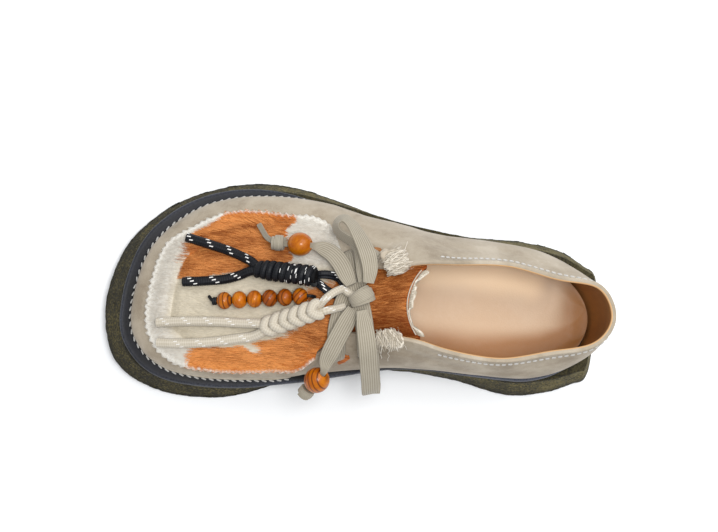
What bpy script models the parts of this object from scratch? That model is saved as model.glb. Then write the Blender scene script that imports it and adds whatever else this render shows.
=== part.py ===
"""Low-top moccasin shoe for the right foot, as an assembly of separate pieces.

The frame has its origin on the floor under the middle of the outsole. X runs along the foot,
the toe towards -X and the heel towards +X. +Y is the outer (lateral) side, +Z is up.
All sizes below are in millimetres and are turned into metres where a mesh is made.
"""

import math
from collections import namedtuple

import bmesh
import bpy
import numpy as np
from mathutils import Vector
from mathutils.bvhtree import BVHTree

MM = 0.001

# Driving dimensions
SOLE_LENGTH = 289.0
FOOT_LENGTH = 266.5
FOOT_TOE_X = -130.0
TOP_TOE_X = -114.0
TOP_HEEL_X = 138.0
FOREFOOT_TOP = 17.0
HEEL_TOP = 25.0
MIDSOLE_THICK = 6.0
INSOLE_THICK = 3.0
UPPER_WALL = 2.8
HIDE_THICK = 2.2
GAP = 0.3

# Toe spring, arch and the wedge between forefoot and heel
TOE_SPRING = 9.0
SPRING_START_X = -88.0
ARCH_RISE = 6.0
ARCH_START_X = -6.0
ARCH_END_X = 60.0
WEDGE_START_X = -60.0
WEDGE_END_X = 80.0

# Tread
TREAD_BEVEL = 2.0
GROOVE_WIDTH = 5.0
GROOVE_DEPTH = 3.2
GROOVE_PITCH = 16.0
FOREFOOT_GROOVE_X = -112.0
FOREFOOT_GROOVES = 6
HEEL_GROOVE_X = 76.0
HEEL_GROOVES = 4

# Sampling
SIDE_STATIONS = 40
WALL_ROWS = 8
FIELD_COLUMNS = 10

# The outline of the outsole on the floor, from toe to heel: x, then y on each side
SoleRow = namedtuple("SoleRow", "x lateral medial")
SOLE_ROWS = (
    SoleRow(-144.5, -16.0, -16.0),
    SoleRow(-142.2, 1.5, -34.0),
    SoleRow(-136.4, 18.7, -47.5),
    SoleRow(-127.3, 31.7, -56.0),
    SoleRow(-113.5, 45.3, -61.9),
    SoleRow(-92.0, 57.0, -64.9),
    SoleRow(-62.0, 64.9, -61.0),
    SoleRow(-40.0, 64.4, -52.0),
    SoleRow(-12.5, 58.9, -43.0),
    SoleRow(24.0, 49.5, -37.5),
    SoleRow(60.0, 47.2, -38.4),
    SoleRow(97.0, 48.0, -44.2),
    SoleRow(118.0, 45.5, -40.2),
    SoleRow(134.5, 38.0, -33.2),
    SoleRow(141.6, 33.4, -29.0),
    SoleRow(143.4, 28.5, -23.0),
    SoleRow(144.5, 2.0, 2.0),
)

# How far the sole's side leans in from the floor to its top, and how far the midsole stands
# out past the upper, along the foot
EdgeRow = namedtuple("EdgeRow", "x flare ledge")
EDGE_ROWS = (
    EdgeRow(-144.5, 9.4, 5.0),
    EdgeRow(-125.0, 7.2, 5.0),
    EdgeRow(-60.0, 5.9, 4.8),
    EdgeRow(-10.0, 4.0, 3.0),
    EdgeRow(25.0, 1.4, 1.4),
    EdgeRow(60.0, 3.2, 1.6),
    EdgeRow(100.0, 6.6, 2.4),
    EdgeRow(144.5, 6.0, 2.4),
)

# The last, in ribs from toe to heel on each side. along is the share of the foot's length.
# foot is y at the featherline, belly the bulge of the wall and the height where it is widest,
# top is y and z at the upper edge, and shoulder sets how the wall turns in below that edge.
Rib = namedtuple("Rib", "along foot belly_out belly_up top_y top_z shoulder_out shoulder_down")
TOE_RIB = Rib(0.0, -20.0, 2.5, 9.0, -19.0, 49.0, 6.0, 2.5)
LATERAL_RIBS = (
    Rib(0.025, 16.0, 2.5, 9.0, 14.0, 50.0, 6.0, 2.6),
    Rib(0.07, 33.0, 2.5, 10.0, 22.8, 51.5, 6.5, 2.8),
    Rib(0.15, 47.2, 3.0, 12.0, 33.0, 54.5, 8.0, 3.0),
    Rib(0.27, 53.8, 3.5, 15.0, 33.0, 60.0, 10.0, 4.0),
    Rib(0.355, 52.0, 4.0, 17.0, 29.5, 65.5, 12.0, 5.5),
    Rib(0.40, 50.0, 4.0, 18.0, 17.0, 73.5, 15.0, 7.0),
    Rib(0.47, 46.3, 4.0, 19.0, 14.5, 81.5, 14.0, 8.0),
    Rib(0.57, 42.2, 4.0, 20.0, 19.0, 91.0, 10.0, 12.0),
    Rib(0.64, 40.8, 4.0, 20.0, 21.5, 84.0, 6.5, 13.0),
    Rib(0.75, 40.2, 4.0, 20.0, 25.0, 77.0, 4.0, 14.0),
    Rib(0.87, 37.0, 4.5, 20.0, 20.5, 78.5, 4.0, 14.0),
    Rib(0.96, 23.0, 4.5, 20.0, 17.6, 83.0, 3.0, 15.0),
)
MEDIAL_RIBS = (
    Rib(0.025, -41.0, 2.5, 9.0, -38.0, 50.0, 6.0, 2.6),
    Rib(0.07, -50.3, 2.5, 10.0, -45.0, 51.5, 6.0, 2.8),
    Rib(0.15, -54.0, 2.5, 12.0, -46.6, 54.5, 6.0, 3.2),
    Rib(0.27, -52.2, 2.5, 15.0, -43.0, 60.0, 7.0, 4.2),
    Rib(0.355, -48.3, 3.0, 17.0, -38.5, 65.5, 8.0, 5.5),
    Rib(0.40, -46.3, 3.0, 18.0, -27.0, 73.5, 11.0, 7.0),
    Rib(0.47, -42.0, 3.5, 19.0, -24.5, 81.5, 10.0, 8.0),
    Rib(0.57, -36.8, 4.5, 20.0, -26.5, 91.0, 7.0, 12.0),
    Rib(0.64, -35.2, 5.0, 20.0, -29.3, 84.0, 4.5, 13.0),
    Rib(0.75, -35.4, 4.5, 20.0, -30.5, 77.0, 3.5, 14.0),
    Rib(0.87, -34.0, 4.0, 20.0, -23.5, 78.5, 4.0, 14.0),
    Rib(0.96, -22.3, 4.5, 20.0, -16.8, 83.0, 3.0, 15.0),
)
HEEL_RIB = Rib(1.0, 0.5, 4.5, 20.0, 0.0, 85.0, 2.0, 15.0)

# The hide apron laps over the vamp from the toe to APRON_END, dips inside the opening, and is
# tucked under the facings from TUCK_START to the end of the tongue
LAP_START_V = 0.83
APRON_END = 0.36
DIP_START = 0.374
DIP = 0.405
TUCK_START = 0.42
TONGUE_END = 0.575
TONGUE_NOTCH = 0.035
APRON_ROWS = 22
DIP_ROWS = 3
TONGUE_ROWS = 8
DIP_INSET = 0.90
DOME = 0.30

# Flat lace
LACE_WIDTH = 10.0
LACE_THICK = 1.4
RIBBON_STEP = 3.1
DRAPE_GAP = 0.6
KNOT_CENTRE = (-2.8, -4.5)
KNOT_RADII = (6.2, 6.2, 4.4)

# The lace crosses from each front eyelet to the rear eyelet on the other side; lift is above
# what lies underneath
Cross = namedtuple("Cross", "x y lift")
CROSSINGS = (
    (
        Cross(-16.0, -36.0, 0.0),
        Cross(-13.6, -25.0, 0.6),
        Cross(-10.4, -13.0, 1.2),
        Cross(-5.0, -4.0, 0.2),
        Cross(-1.4, 9.0, 0.0),
        Cross(0.6, 20.5, 0.0),
    ),
    (
        Cross(-11.0, 22.5, 0.0),
        Cross(-8.0, 9.0, 0.3),
        Cross(-4.0, -4.0, 0.8),
        Cross(0.0, -17.0, 0.3),
        Cross(3.0, -31.0, 0.0),
    ),
)

# The bow: each station of a ribbon has its place, its width there and how it is rolled, in degrees
Tie = namedtuple("Tie", "x y z width roll")
LOOP_LATERAL = (
    Tie(-2.6, 3.0, 91.0, 6.0, 0),
    Tie(-1.8, 10.5, 91.4, 8.5, 6),
    Tie(-2.6, 19.0, 89.6, 9.5, 16),
    Tie(-4.8, 27.5, 86.0, 9.5, 30),
    Tie(-8.6, 35.0, 81.0, 9.5, 46),
    Tie(-13.6, 39.2, 77.6, 9.5, 58),
    Tie(-18.4, 37.4, 77.6, 9.5, 62),
    Tie(-19.8, 32.4, 79.6, 9.5, 60),
    Tie(-17.0, 27.6, 82.2, 9.5, 56),
    Tie(-12.8, 23.6, 84.6, 9.0, 46),
    Tie(-9.0, 17.2, 87.0, 8.0, 30),
    Tie(-6.2, 9.6, 88.4, 6.5, 10),
    Tie(-4.6, 3.0, 88.4, 5.0, 0),
)
LOOP_MEDIAL = (
    Tie(-2.4, -12.0, 91.0, 6.0, 0),
    Tie(0.2, -20.0, 90.8, 9.0, 0),
    Tie(3.0, -30.0, 88.0, 10.0, 0),
    Tie(5.6, -39.5, 79.0, 10.0, 0),
    Tie(8.0, -47.0, 68.6, 10.0, 0),
    Tie(9.8, -52.4, 58.6, 10.0, 0),
    Tie(10.4, -53.0, 55.2, 10.0, 0),
    Tie(10.6, -50.6, 54.4, 10.0, 0),
    Tie(10.0, -48.4, 57.6, 10.0, 0),
    Tie(8.4, -43.6, 66.0, 10.0, 0),
    Tie(6.6, -37.2, 75.4, 10.0, 0),
    Tie(4.2, -29.6, 85.2, 9.0, 0),
    Tie(1.2, -20.4, 88.2, 7.0, 0),
    Tie(-1.0, -12.4, 88.6, 5.0, 0),
)
END_LATERAL = (
    Tie(-9.0, 1.8, 86.4, 6.0, 0),
    Tie(-11.8, 6.6, 84.8, 9.0, 0),
    Tie(-15.6, 13.2, 82.0, 10.0, 0),
    Tie(-20.4, 18.4, 78.8, 9.5, 0),
    Tie(-26.4, 21.4, 76.0, 8.0, 0),
    Tie(-31.4, 22.0, 74.8, 4.0, 0),
)
END_MEDIAL = (
    Tie(-6.4, -11.0, 86.0, 7.0, 0),
    Tie(-8.8, -17.0, 85.4, 9.5, 0),
    Tie(-12.2, -25.4, 83.0, 10.0, 0),
    Tie(-15.2, -33.4, 79.2, 10.0, 0),
    Tie(-17.4, -40.4, 74.6, 8.0, 0),
    Tie(-18.0, -45.6, 71.6, 4.0, 0),
)
BEAD_LATERAL = (-38.6, 22.2)
BEAD_LATERAL_DIAMETER = 13.0
BEAD_MEDIAL = (-21.0, -50.6, 65.6)
BEAD_MEDIAL_AXIS = (-0.40, -0.55, -0.73)
BEAD_MEDIAL_DIAMETER = 14.0
BIG_BORE = 4.0
STOP_LENGTH = 8.8
STOP_DIAMETER = 9.6
STOP_WRAPS = 2
STOP_GROOVE = 0.6
TIP_DIAMETER = 2.9
BIG_STEPS = 12
TURN_STEPS = 10

# Lanyards and the row of beads, laid on the hide: x and y, and the lift above the hide
Lay = namedtuple("Lay", "x y lift")
LACE_TIP = (Lay(-56.4, 24.4, 2.6), Lay(-59.2, 28.0, 0.8), Lay(-62.0, 32.2, 0.2))
BLACK_KNOT = (Lay(-62.0, 6.2, 0.0), Lay(-27.2, 4.4, 3.5))
BLACK_KNOT_DIAMETER = 11.8
BLACK_WRAPS = 9
BLACK_GROOVE = 0.7
TAIL_DIAMETER = 5.4
STRAND_DIAMETER = 3.6
BLACK_TAIL_UPPER = (
    Lay(-64.4, 10.4, 2.4),
    Lay(-69.0, 12.6, 0.6),
    Lay(-75.0, 14.8, 0.2),
    Lay(-88.0, 18.2, 0.2),
    Lay(-101.0, 21.2, 0.3),
)
BLACK_TAIL_LOWER = (
    Lay(-65.0, 4.4, 2.4),
    Lay(-69.0, 2.4, 0.6),
    Lay(-75.0, 0.0, 0.2),
    Lay(-88.0, -2.6, 0.2),
    Lay(-100.4, -4.2, 0.3),
)
BLACK_BIGHT = (
    Lay(-24.8, 6.6, 4.8),
    Lay(-20.8, 7.2, 2.4),
    Lay(-17.0, 6.4, 1.0),
    Lay(-14.8, 3.6, 0.8),
    Lay(-16.8, 0.4, 1.0),
    Lay(-20.6, -0.4, 2.2),
    Lay(-24.8, 1.4, 4.0),
)
CREAM_KNOT = (Lay(-53.8, -25.8, 0.0), Lay(-25.0, -13.0, 5.5))
CREAM_KNOT_DIAMETER = 11.6
CREAM_FLATNESS = 0.72
CREAM_TURNS = 6
CREAM_GROOVE = 1.3
CREAM_TAIL_UPPER = (
    Lay(-56.8, -23.6, 1.6),
    Lay(-63.0, -23.9, 0.4),
    Lay(-80.0, -24.6, 0.2),
    Lay(-97.0, -26.0, 0.2),
    Lay(-112.0, -27.8, 0.3),
)
CREAM_TAIL_LOWER = (
    Lay(-54.8, -28.6, 1.6),
    Lay(-59.0, -30.8, 0.6),
    Lay(-66.0, -32.4, 0.3),
    Lay(-80.0, -35.6, 0.2),
    Lay(-96.0, -38.0, 0.2),
    Lay(-110.6, -39.0, 0.3),
)
CREAM_BIGHT_UPPER = (
    Lay(-22.9, -9.8, 6.6),
    Lay(-21.2, -6.0, 7.4),
    Lay(-17.8, -2.4, 7.4),
    Lay(-13.8, -1.4, 5.6),
    Lay(-11.4, -3.4, 4.4),
)
CREAM_BIGHT_LOWER = (Lay(-21.6, -14.8, 6.0), Lay(-19.0, -13.6, 5.0), Lay(-16.6, -12.6, 4.2))
BIGHT_DIAMETER = 4.4
BIGHT_STEP = 4.0
BEAD_ROW = (Lay(-76.4, -12.8, 0.0), Lay(-35.6, -6.8, 0.0))
SMALL_BEADS = 6
SMALL_BEAD_DIAMETER = 9.6
SMALL_BEAD_LENGTH = 7.9
SMALL_BORE = 2.8
BEAD_CORD_DIAMETER = 1.9
BEAD_CORD_ENDS = (Lay(-85.0, -11.0, 0.4), Lay(-27.4, -6.0, 0.6))

# Frayed cotton tufts at the top of the facings: centre, half sizes and number of locks
Tuft = namedtuple("Tuft", "x y reach_x reach_y reach_z locks")
TUFT_LATERAL = Tuft(13.8, 17.4, 7.2, 6.8, 4.6, 7)
TUFT_MEDIAL = Tuft(16.4, -26.6, 7.2, 5.6, 4.2, 7)
LOCK_DEPTH = 0.24

Finish = namedtuple("Finish", "colour roughness")
OLIVE_CREPE = Finish((0.085, 0.078, 0.042), 0.85)
BLACK_RUBBER = Finish((0.035, 0.036, 0.042), 0.55)
TAN_LEATHER = Finish((0.64, 0.43, 0.27), 0.5)
TAUPE_SUEDE = Finish((0.42, 0.37, 0.30), 0.95)
HAIR_HIDE = Finish((0.45, 0.17, 0.06), 0.7)
RIBBED_LACE = Finish((0.45, 0.41, 0.33), 0.9)
TURNED_WOOD = Finish((0.48, 0.20, 0.05), 0.35)
BLACK_CORD = Finish((0.012, 0.013, 0.02), 0.7)
CREAM_CORD = Finish((0.70, 0.65, 0.54), 0.85)
RAW_COTTON = Finish((0.74, 0.70, 0.62), 0.95)


def loop_angle(along):
    """Turns a share of the length into the angle that walks round a closed outline."""
    return math.acos(1.0 - 2.0 * along) / math.pi


def loop_along(angle):
    """The share of the length at an angle of the outline; the toe is 0 and the heel 1."""
    return (1.0 - np.cos(np.pi * np.asarray(angle))) / 2.0


def spline(keys, values, query, period=None):
    """A smooth curve through rows of values; with a period it closes on itself."""
    keys = np.asarray(keys, float)
    values = np.asarray(values, float)
    query = np.asarray(query, float)
    if period:
        keys = np.concatenate([keys[-2:] - period, keys, keys[:2] + period])
        values = np.concatenate([values[-2:], values, values[:2]])
        query = (query - keys[2]) % period + keys[2]
    steps = np.diff(keys)
    slopes = np.diff(values, axis=0) / steps.reshape((-1,) + (1,) * (values.ndim - 1))
    before = np.concatenate([slopes[:1], slopes])
    after = np.concatenate([slopes, slopes[-1:]])
    left = np.concatenate([steps[:1], steps])
    right = np.concatenate([steps, steps[-1:]])
    share = (left / (left + right)).reshape((-1,) + (1,) * (values.ndim - 1))
    tangents = before * (1.0 - share) + after * share
    span = np.clip(np.searchsorted(keys, query, side="right") - 1, 0, len(keys) - 2)
    width = steps[span]
    t = (query - keys[span]) / width
    if values.ndim > 1:
        t, width = t[..., None], width[..., None]
    return (
        values[span] * (1 + 2 * t) * (1 - t) ** 2
        + tangents[span] * width * t * (1 - t) ** 2
        + values[span + 1] * t * t * (3 - 2 * t)
        + tangents[span + 1] * width * t * t * (t - 1)
    )


def smooth_step(x, start, end):
    t = np.clip((np.asarray(x, float) - start) / (end - start), 0.0, 1.0)
    return t * t * (3.0 - 2.0 * t)


def toe_lift(x):
    """How far toe spring lifts the sole at x."""
    reach = np.clip((SPRING_START_X - np.asarray(x, float)) / (SPRING_START_X + SOLE_LENGTH / 2), 0, None)
    return TOE_SPRING * reach**2


def tread_z(x):
    """The underside of the sole: flat at forefoot and heel, lifted at the toe and the arch."""
    middle = (ARCH_START_X + ARCH_END_X) / 2
    arch = smooth_step(x, ARCH_START_X, middle) * (1 - smooth_step(x, middle, ARCH_END_X))
    return toe_lift(x) + ARCH_RISE * arch


def outsole_top_z(x):
    wedge = smooth_step(x, WEDGE_START_X, WEDGE_END_X)
    return FOREFOOT_TOP + (HEEL_TOP - FOREFOOT_TOP) * wedge + toe_lift(x)


def midsole_top_z(x):
    return outsole_top_z(x) + GAP + MIDSOLE_THICK


def edge_size(x, column):
    keys = [row.x for row in EDGE_ROWS]
    return spline(keys, [getattr(row, column) for row in EDGE_ROWS], np.clip(x, keys[0], keys[-1]))


def loop_angles():
    """Angles round an outline, from the toe along the outer side to the heel and back."""
    half = np.linspace(0.0, 1.0, SIDE_STATIONS + 1)
    return np.concatenate([half, -half[-2:0:-1]])


def plan_normals(points):
    """Outward directions in plan of a closed outline that runs from the toe to +Y."""
    ahead = np.roll(points, -1, axis=0)
    behind = np.roll(points, 1, axis=0)
    along = (ahead - behind)[:, :2]
    normal = np.stack([-along[:, 1], along[:, 0]], axis=1)
    return normal / np.linalg.norm(normal, axis=1, keepdims=True)


def moved_out(points, distance):
    """An outline moved out in plan by a distance that may change along it."""
    out = points.copy()
    out[:, :2] += plan_normals(points) * np.reshape(distance, (-1, 1))
    return out


def floor_outline():
    """The outsole's outline where it meets the floor."""
    angles = loop_angles()
    rows = [(loop_angle((row.x + SOLE_LENGTH / 2) / SOLE_LENGTH), row) for row in SOLE_ROWS]
    keys = [-a for a, _ in rows[-2:0:-1]] + [a for a, _ in rows]
    values = [row.medial for _, row in rows[-2:0:-1]] + [row.lateral for _, row in rows]
    y = spline(keys, values, angles, period=2.0)
    x = -SOLE_LENGTH / 2 + SOLE_LENGTH * loop_along(angles)
    return np.stack([x, y, np.zeros_like(x)], axis=1)


def rib_values(angles):
    """The last's numbers at angles round the foot, as columns of Rib."""
    lateral = [(loop_angle(rib.along), rib) for rib in (TOE_RIB, *LATERAL_RIBS, HEEL_RIB)]
    medial = [(-loop_angle(rib.along), rib) for rib in reversed(MEDIAL_RIBS)]
    rows = medial + lateral
    return spline([a for a, _ in rows], [rib for _, rib in rows], angles, period=2.0)


def foot_outline(angles):
    """The featherline, where the upper meets the midsole."""
    x = FOOT_TOE_X + FOOT_LENGTH * loop_along(angles)
    y = rib_values(angles)[:, 1]
    return np.stack([x, y, midsole_top_z(x) + GAP], axis=1)


FOOT_ANGLES = loop_angles()
FOOT_NORMALS = plan_normals(foot_outline(FOOT_ANGLES))


def wall_controls(angles):
    """The four control points of the upper's wall at each angle, from featherline to top edge."""
    angles = np.asarray(angles, float)
    ribs = rib_values(angles)
    foot = foot_outline(angles)
    order = np.argsort(FOOT_ANGLES)
    out = spline(FOOT_ANGLES[order], FOOT_NORMALS[order], angles, period=2.0)
    out = np.concatenate([out, np.zeros((len(angles), 1))], axis=1)
    up = np.array([0.0, 0.0, 1.0])
    top_x = TOP_TOE_X + (TOP_HEEL_X - TOP_TOE_X) * loop_along(angles)
    top = np.stack([top_x, ribs[:, 4], ribs[:, 5]], axis=1)
    belly = foot + out * ribs[:, 2:3] + up * ribs[:, 3:4]
    shoulder = top + out * ribs[:, 6:7] - up * ribs[:, 7:8]
    return foot, belly, shoulder, top


def wall_point(angles, v):
    """Points of the upper's outer face; v is 0 at the featherline and 1 at the top edge."""
    foot, belly, shoulder, top = wall_controls(angles)
    v = np.reshape(v, (-1, 1))
    return (
        foot * (1 - v) ** 3
        + 3 * belly * v * (1 - v) ** 2
        + 3 * shoulder * v * v * (1 - v)
        + top * v**3
    )


def wall_normal(angles, v):
    """Outward normals of the upper's outer face."""
    step = 0.002
    around = wall_point(angles + step, v) - wall_point(angles - step, v)
    rise = wall_point(angles, v + step) - wall_point(angles, v - step)
    normal = np.cross(rise, around)
    return normal / np.linalg.norm(normal, axis=1, keepdims=True)


def material(name, finish):
    made = bpy.data.materials.get(name) or bpy.data.materials.new(name)
    made.use_nodes = True
    shader = made.node_tree.nodes["Principled BSDF"]
    shader.inputs["Base Color"].default_value = (*finish.colour, 1.0)
    shader.inputs["Roughness"].default_value = finish.roughness
    return made


def add_object(name, bm, finish_name, finish, collection, smooth=True):
    """Makes an object from a mesh in millimetres."""
    bmesh.ops.scale(bm, vec=(MM, MM, MM), verts=bm.verts)
    bmesh.ops.recalc_face_normals(bm, faces=bm.faces)
    mesh = bpy.data.meshes.new(name)
    bm.to_mesh(mesh)
    bm.free()
    if smooth:
        mesh.shade_smooth()
    obj = bpy.data.objects.new(name, mesh)
    collection.objects.link(obj)
    if finish:
        mesh.materials.append(material(finish_name, finish))
    return obj


def add_grid(bm, rows, skip=lambda r, c: False, closed=False):
    """Quads between rows of points; returns the rows of vertices."""
    verts = [[bm.verts.new(p) for p in row] for row in rows]
    count = len(verts)
    for r in range(count if closed else count - 1):
        near, far = verts[r], verts[(r + 1) % count]
        for c in range(len(near) - 1):
            if not skip(r, c):
                bm.faces.new((near[c], far[c], far[c + 1], near[c + 1]))
    return verts


def add_cap(bm, ring):
    """Closes an outline of loop_angles() with strips from side to side."""
    half = len(ring) // 2
    bm.faces.new((ring[0], ring[1], ring[-1]))
    for i in range(1, half - 1):
        bm.faces.new((ring[i], ring[i + 1], ring[-i - 1], ring[-i]))
    bm.faces.new((ring[half - 1], ring[half], ring[half + 1]))


def slab(name, rings, finish_name, finish, collection):
    """A closed solid between outlines stacked from its underside to its top."""
    bm = bmesh.new()
    columns = [list(points) for points in zip(*rings)]
    verts = add_grid(bm, columns, closed=True)
    add_cap(bm, [column[0] for column in verts])
    add_cap(bm, [column[-1] for column in verts])
    return add_object(name, bm, finish_name, finish, collection)


def at_height(outline, height):
    """An outline set at a height that depends on where along the foot it is."""
    out = outline.copy()
    out[:, 2] = height(out[:, 0])
    return out


def make_outsole(collection, cutters):
    floor = floor_outline()
    flare = edge_size(floor[:, 0], "flare")
    lip = 1.0
    rings = [
        at_height(moved_out(floor, -TREAD_BEVEL), tread_z),
        at_height(floor, lambda x: tread_z(x) + TREAD_BEVEL),
        at_height(moved_out(floor, -0.5 * flare), lambda x: 0.5 * (tread_z(x) + outsole_top_z(x))),
        at_height(moved_out(floor, -flare), lambda x: outsole_top_z(x) - lip),
        at_height(moved_out(floor, -flare - lip), outsole_top_z),
    ]
    outsole = slab("outsole", rings, "olive_crepe", OLIVE_CREPE, collection)
    groove_x = [FOREFOOT_GROOVE_X + GROOVE_PITCH * i for i in range(FOREFOOT_GROOVES)]
    groove_x += [HEEL_GROOVE_X + GROOVE_PITCH * i for i in range(HEEL_GROOVES)]
    for i, x in enumerate(groove_x):
        cut_groove(outsole, f"groove_{i}", x, cutters)
    return outsole


def cut_groove(outsole, name, x, cutters):
    """One groove across the tread, square to the foot, that runs out at both sides."""
    depth = GROOVE_DEPTH
    reach = SOLE_LENGTH
    bm = bmesh.new()
    bmesh.ops.create_cube(bm, size=1.0)
    bmesh.ops.scale(bm, vec=(GROOVE_WIDTH, reach, 2 * depth), verts=bm.verts)
    bmesh.ops.translate(bm, vec=(x, 0, float(tread_z(x))), verts=bm.verts)
    cutter = add_object(name, bm, None, None, cutters, smooth=False)
    cutter.hide_render = True
    cutter.display_type = "WIRE"
    cut = outsole.modifiers.new(name, "BOOLEAN")
    cut.operation = "DIFFERENCE"
    cut.object = cutter


def make_midsole(collection):
    foot = foot_outline(FOOT_ANGLES)
    edge = moved_out(foot, edge_size(foot[:, 0], "ledge"))
    round_in = 1.4
    rings = [
        at_height(moved_out(edge, -0.8), lambda x: outsole_top_z(x) + GAP),
        at_height(edge, lambda x: outsole_top_z(x) + GAP + 0.35 * MIDSOLE_THICK),
        at_height(moved_out(edge, -0.3), lambda x: midsole_top_z(x) - 1.2),
        at_height(moved_out(edge, -round_in), midsole_top_z),
    ]
    return slab("midsole", rings, "black_rubber", BLACK_RUBBER, collection)


def make_insole(collection):
    foot = foot_outline(FOOT_ANGLES)
    edge = moved_out(foot, -(UPPER_WALL + 1.0))
    rings = [
        at_height(edge, lambda x: midsole_top_z(x) + GAP),
        at_height(edge, lambda x: midsole_top_z(x) + GAP + 0.7 * INSOLE_THICK),
        at_height(moved_out(edge, -0.9), lambda x: midsole_top_z(x) + GAP + INSOLE_THICK),
    ]
    return slab("insole", rings, "tan_leather", TAN_LEATHER, collection)


def add_wall(obj, thickness, offset):
    """Gives an open surface its real wall."""
    wall = obj.modifiers.new("wall", "SOLIDIFY")
    wall.thickness = thickness * MM
    wall.offset = offset
    wall.use_even_offset = True


def make_upper(collection):
    heights = np.linspace(0.0, 1.0, WALL_ROWS + 1)
    bm = bmesh.new()
    columns = [wall_point(FOOT_ANGLES, np.full(len(FOOT_ANGLES), v)) for v in heights]
    add_grid(bm, [list(points) for points in zip(*columns)], closed=True)
    upper = add_object("upper", bm, "taupe_suede", TAUPE_SUEDE, collection)
    add_wall(upper, UPPER_WALL, -1.0)
    return upper


def hide_offset(along):
    """The hide's underside against the suede's outer face: on top at the toe, under the facings behind."""
    under = -(UPPER_WALL + HIDE_THICK + 2 * GAP)
    return GAP + (under - GAP) * smooth_step(along, DIP_START, DIP)


def hide_edge(angle, v):
    """A point of the hide beside the wall, lifted off or sunk under it, and the wall's inward direction."""
    angles = np.array([angle])
    along = float(loop_along(angle))
    point = wall_point(angles, np.array([v])) + wall_normal(angles, np.array([v])) * hide_offset(along)
    _, _, shoulder, top = wall_controls(angles)
    inward = (top - shoulder)[0]
    return point[0], inward / np.linalg.norm(inward)


def hide_point(along, side):
    """A point of the hide's underside; side runs from 1 on the lateral top edge to -1 on the medial one."""
    angle = loop_angle(along)
    lateral, lateral_in = hide_edge(angle, 1.0)
    medial, medial_in = hide_edge(-angle, 1.0)
    reach = DOME * np.linalg.norm(lateral - medial)
    t = (1.0 - side) / 2.0
    return (
        lateral * (1 - t) ** 3
        + 3 * (lateral + lateral_in * reach) * t * (1 - t) ** 2
        + 3 * (medial + medial_in * reach) * t * t * (1 - t)
        + medial * t**3
    )


def hide_row(along):
    """The hide across the foot, from its lapped or tucked lateral edge to the medial one."""
    angle = loop_angle(along)
    lap = (LAP_START_V, (1 + LAP_START_V) / 2)
    dipped = APRON_END < along < TUCK_START
    reach = DIP_INSET if dipped else 1.0
    sides = np.linspace(reach, -reach, FIELD_COLUMNS + 1)
    notch = TONGUE_NOTCH * smooth_step(along, TUCK_START, TONGUE_END)
    field = [hide_point(along - notch * (1 - side**2), side) for side in sides]
    lateral = [hide_edge(angle, v)[0] for v in lap]
    medial = [hide_edge(-angle, v)[0] for v in reversed(lap)]
    return lateral + field + medial


def add_toe_fan(bm, row, lap_columns):
    """Closes the hide round the tip of the toe, in front of its first row."""
    laps = (LAP_START_V, (1 + LAP_START_V) / 2, 1.0)
    tip = [bm.verts.new(hide_edge(0.0, v)[0]) for v in laps]
    for near, far in ((row, tip), (list(reversed(row)), tip)):
        for c in range(lap_columns):
            bm.faces.new((near[c], far[c], far[c + 1], near[c + 1]))
    field = row[lap_columns:-lap_columns]
    for near, far in zip(field, field[1:]):
        bm.faces.new((tip[-1], near, far))


def make_hide(collection):
    front = APRON_END * (1 - np.cos(np.linspace(0, np.pi / 2, APRON_ROWS + 1)[1:]))
    dip = np.linspace(APRON_END, TUCK_START, DIP_ROWS + 2)[1:-1]
    tongue = np.linspace(TUCK_START, TONGUE_END, TONGUE_ROWS)
    alongs = [*front, *dip, *tongue]
    lap_columns = 2
    last_column = FIELD_COLUMNS + 2 * lap_columns

    def is_gap(row, column):
        in_lap = column < lap_columns or column >= last_column - lap_columns
        return in_lap and APRON_ROWS - 1 <= row < APRON_ROWS + DIP_ROWS

    bm = bmesh.new()
    rows = add_grid(bm, [hide_row(along) for along in alongs], skip=is_gap)
    add_toe_fan(bm, rows[0], lap_columns)
    loose = [v for v in bm.verts if not v.link_faces]
    bmesh.ops.delete(bm, geom=loose, context="VERTS")
    hide = add_object("apron_tongue", bm, "hair_hide", HAIR_HIDE, collection)
    add_wall(hide, HIDE_THICK, 1.0)
    return hide


def tree_of(obj):
    """A search tree of an object's faces, to lay other pieces on it."""
    bpy.context.view_layer.update()
    return BVHTree.FromObject(obj, bpy.context.evaluated_depsgraph_get())


def ground_z(trees, x, y):
    """The highest face under a place, or the floor."""
    start = Vector((x, y, SOLE_LENGTH)) * MM
    hits = [tree.ray_cast(start, Vector((0, 0, -1)))[0] for tree in trees]
    return max((hit.z / MM for hit in hits if hit), default=0.0)


def rest_z(trees, x, y, radius):
    """How high the axis of a round piece lies when it rests at a place."""
    needed = ground_z(trees, x, y) + radius
    for share in (0.35, 0.65, 0.9):
        rise = radius * math.sqrt(1.0 - share**2)
        for turn in np.linspace(0.0, math.tau, 12, endpoint=False):
            reach = share * radius
            under = ground_z(trees, x + reach * math.cos(turn), y + reach * math.sin(turn))
            needed = max(needed, under + rise)
    return needed + GAP


def laid_line(trees, ends, radius):
    """The ends of a straight round piece laid on what is under it, each with its own lift."""
    first, last = np.array([(end.x, end.y) for end in ends])
    shares = np.linspace(0.0, 1.0, 9)
    spots = first + (last - first) * shares[:, None]
    needed = np.array([rest_z(trees, x, y, radius) for x, y in spots])
    line = needed[0] + (needed[-1] - needed[0]) * shares
    raised = line + max(0.0, (needed - line).max())
    start = Vector((*first, raised[0] + ends[0].lift))
    end = Vector((*last, raised[-1] + ends[1].lift))
    return start, end


def laid_route(trees, rows, radius):
    """The axis of a cord laid on what is under it."""
    return [Vector((row.x, row.y, rest_z(trees, row.x, row.y, radius) + row.lift)) for row in rows]


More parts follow.
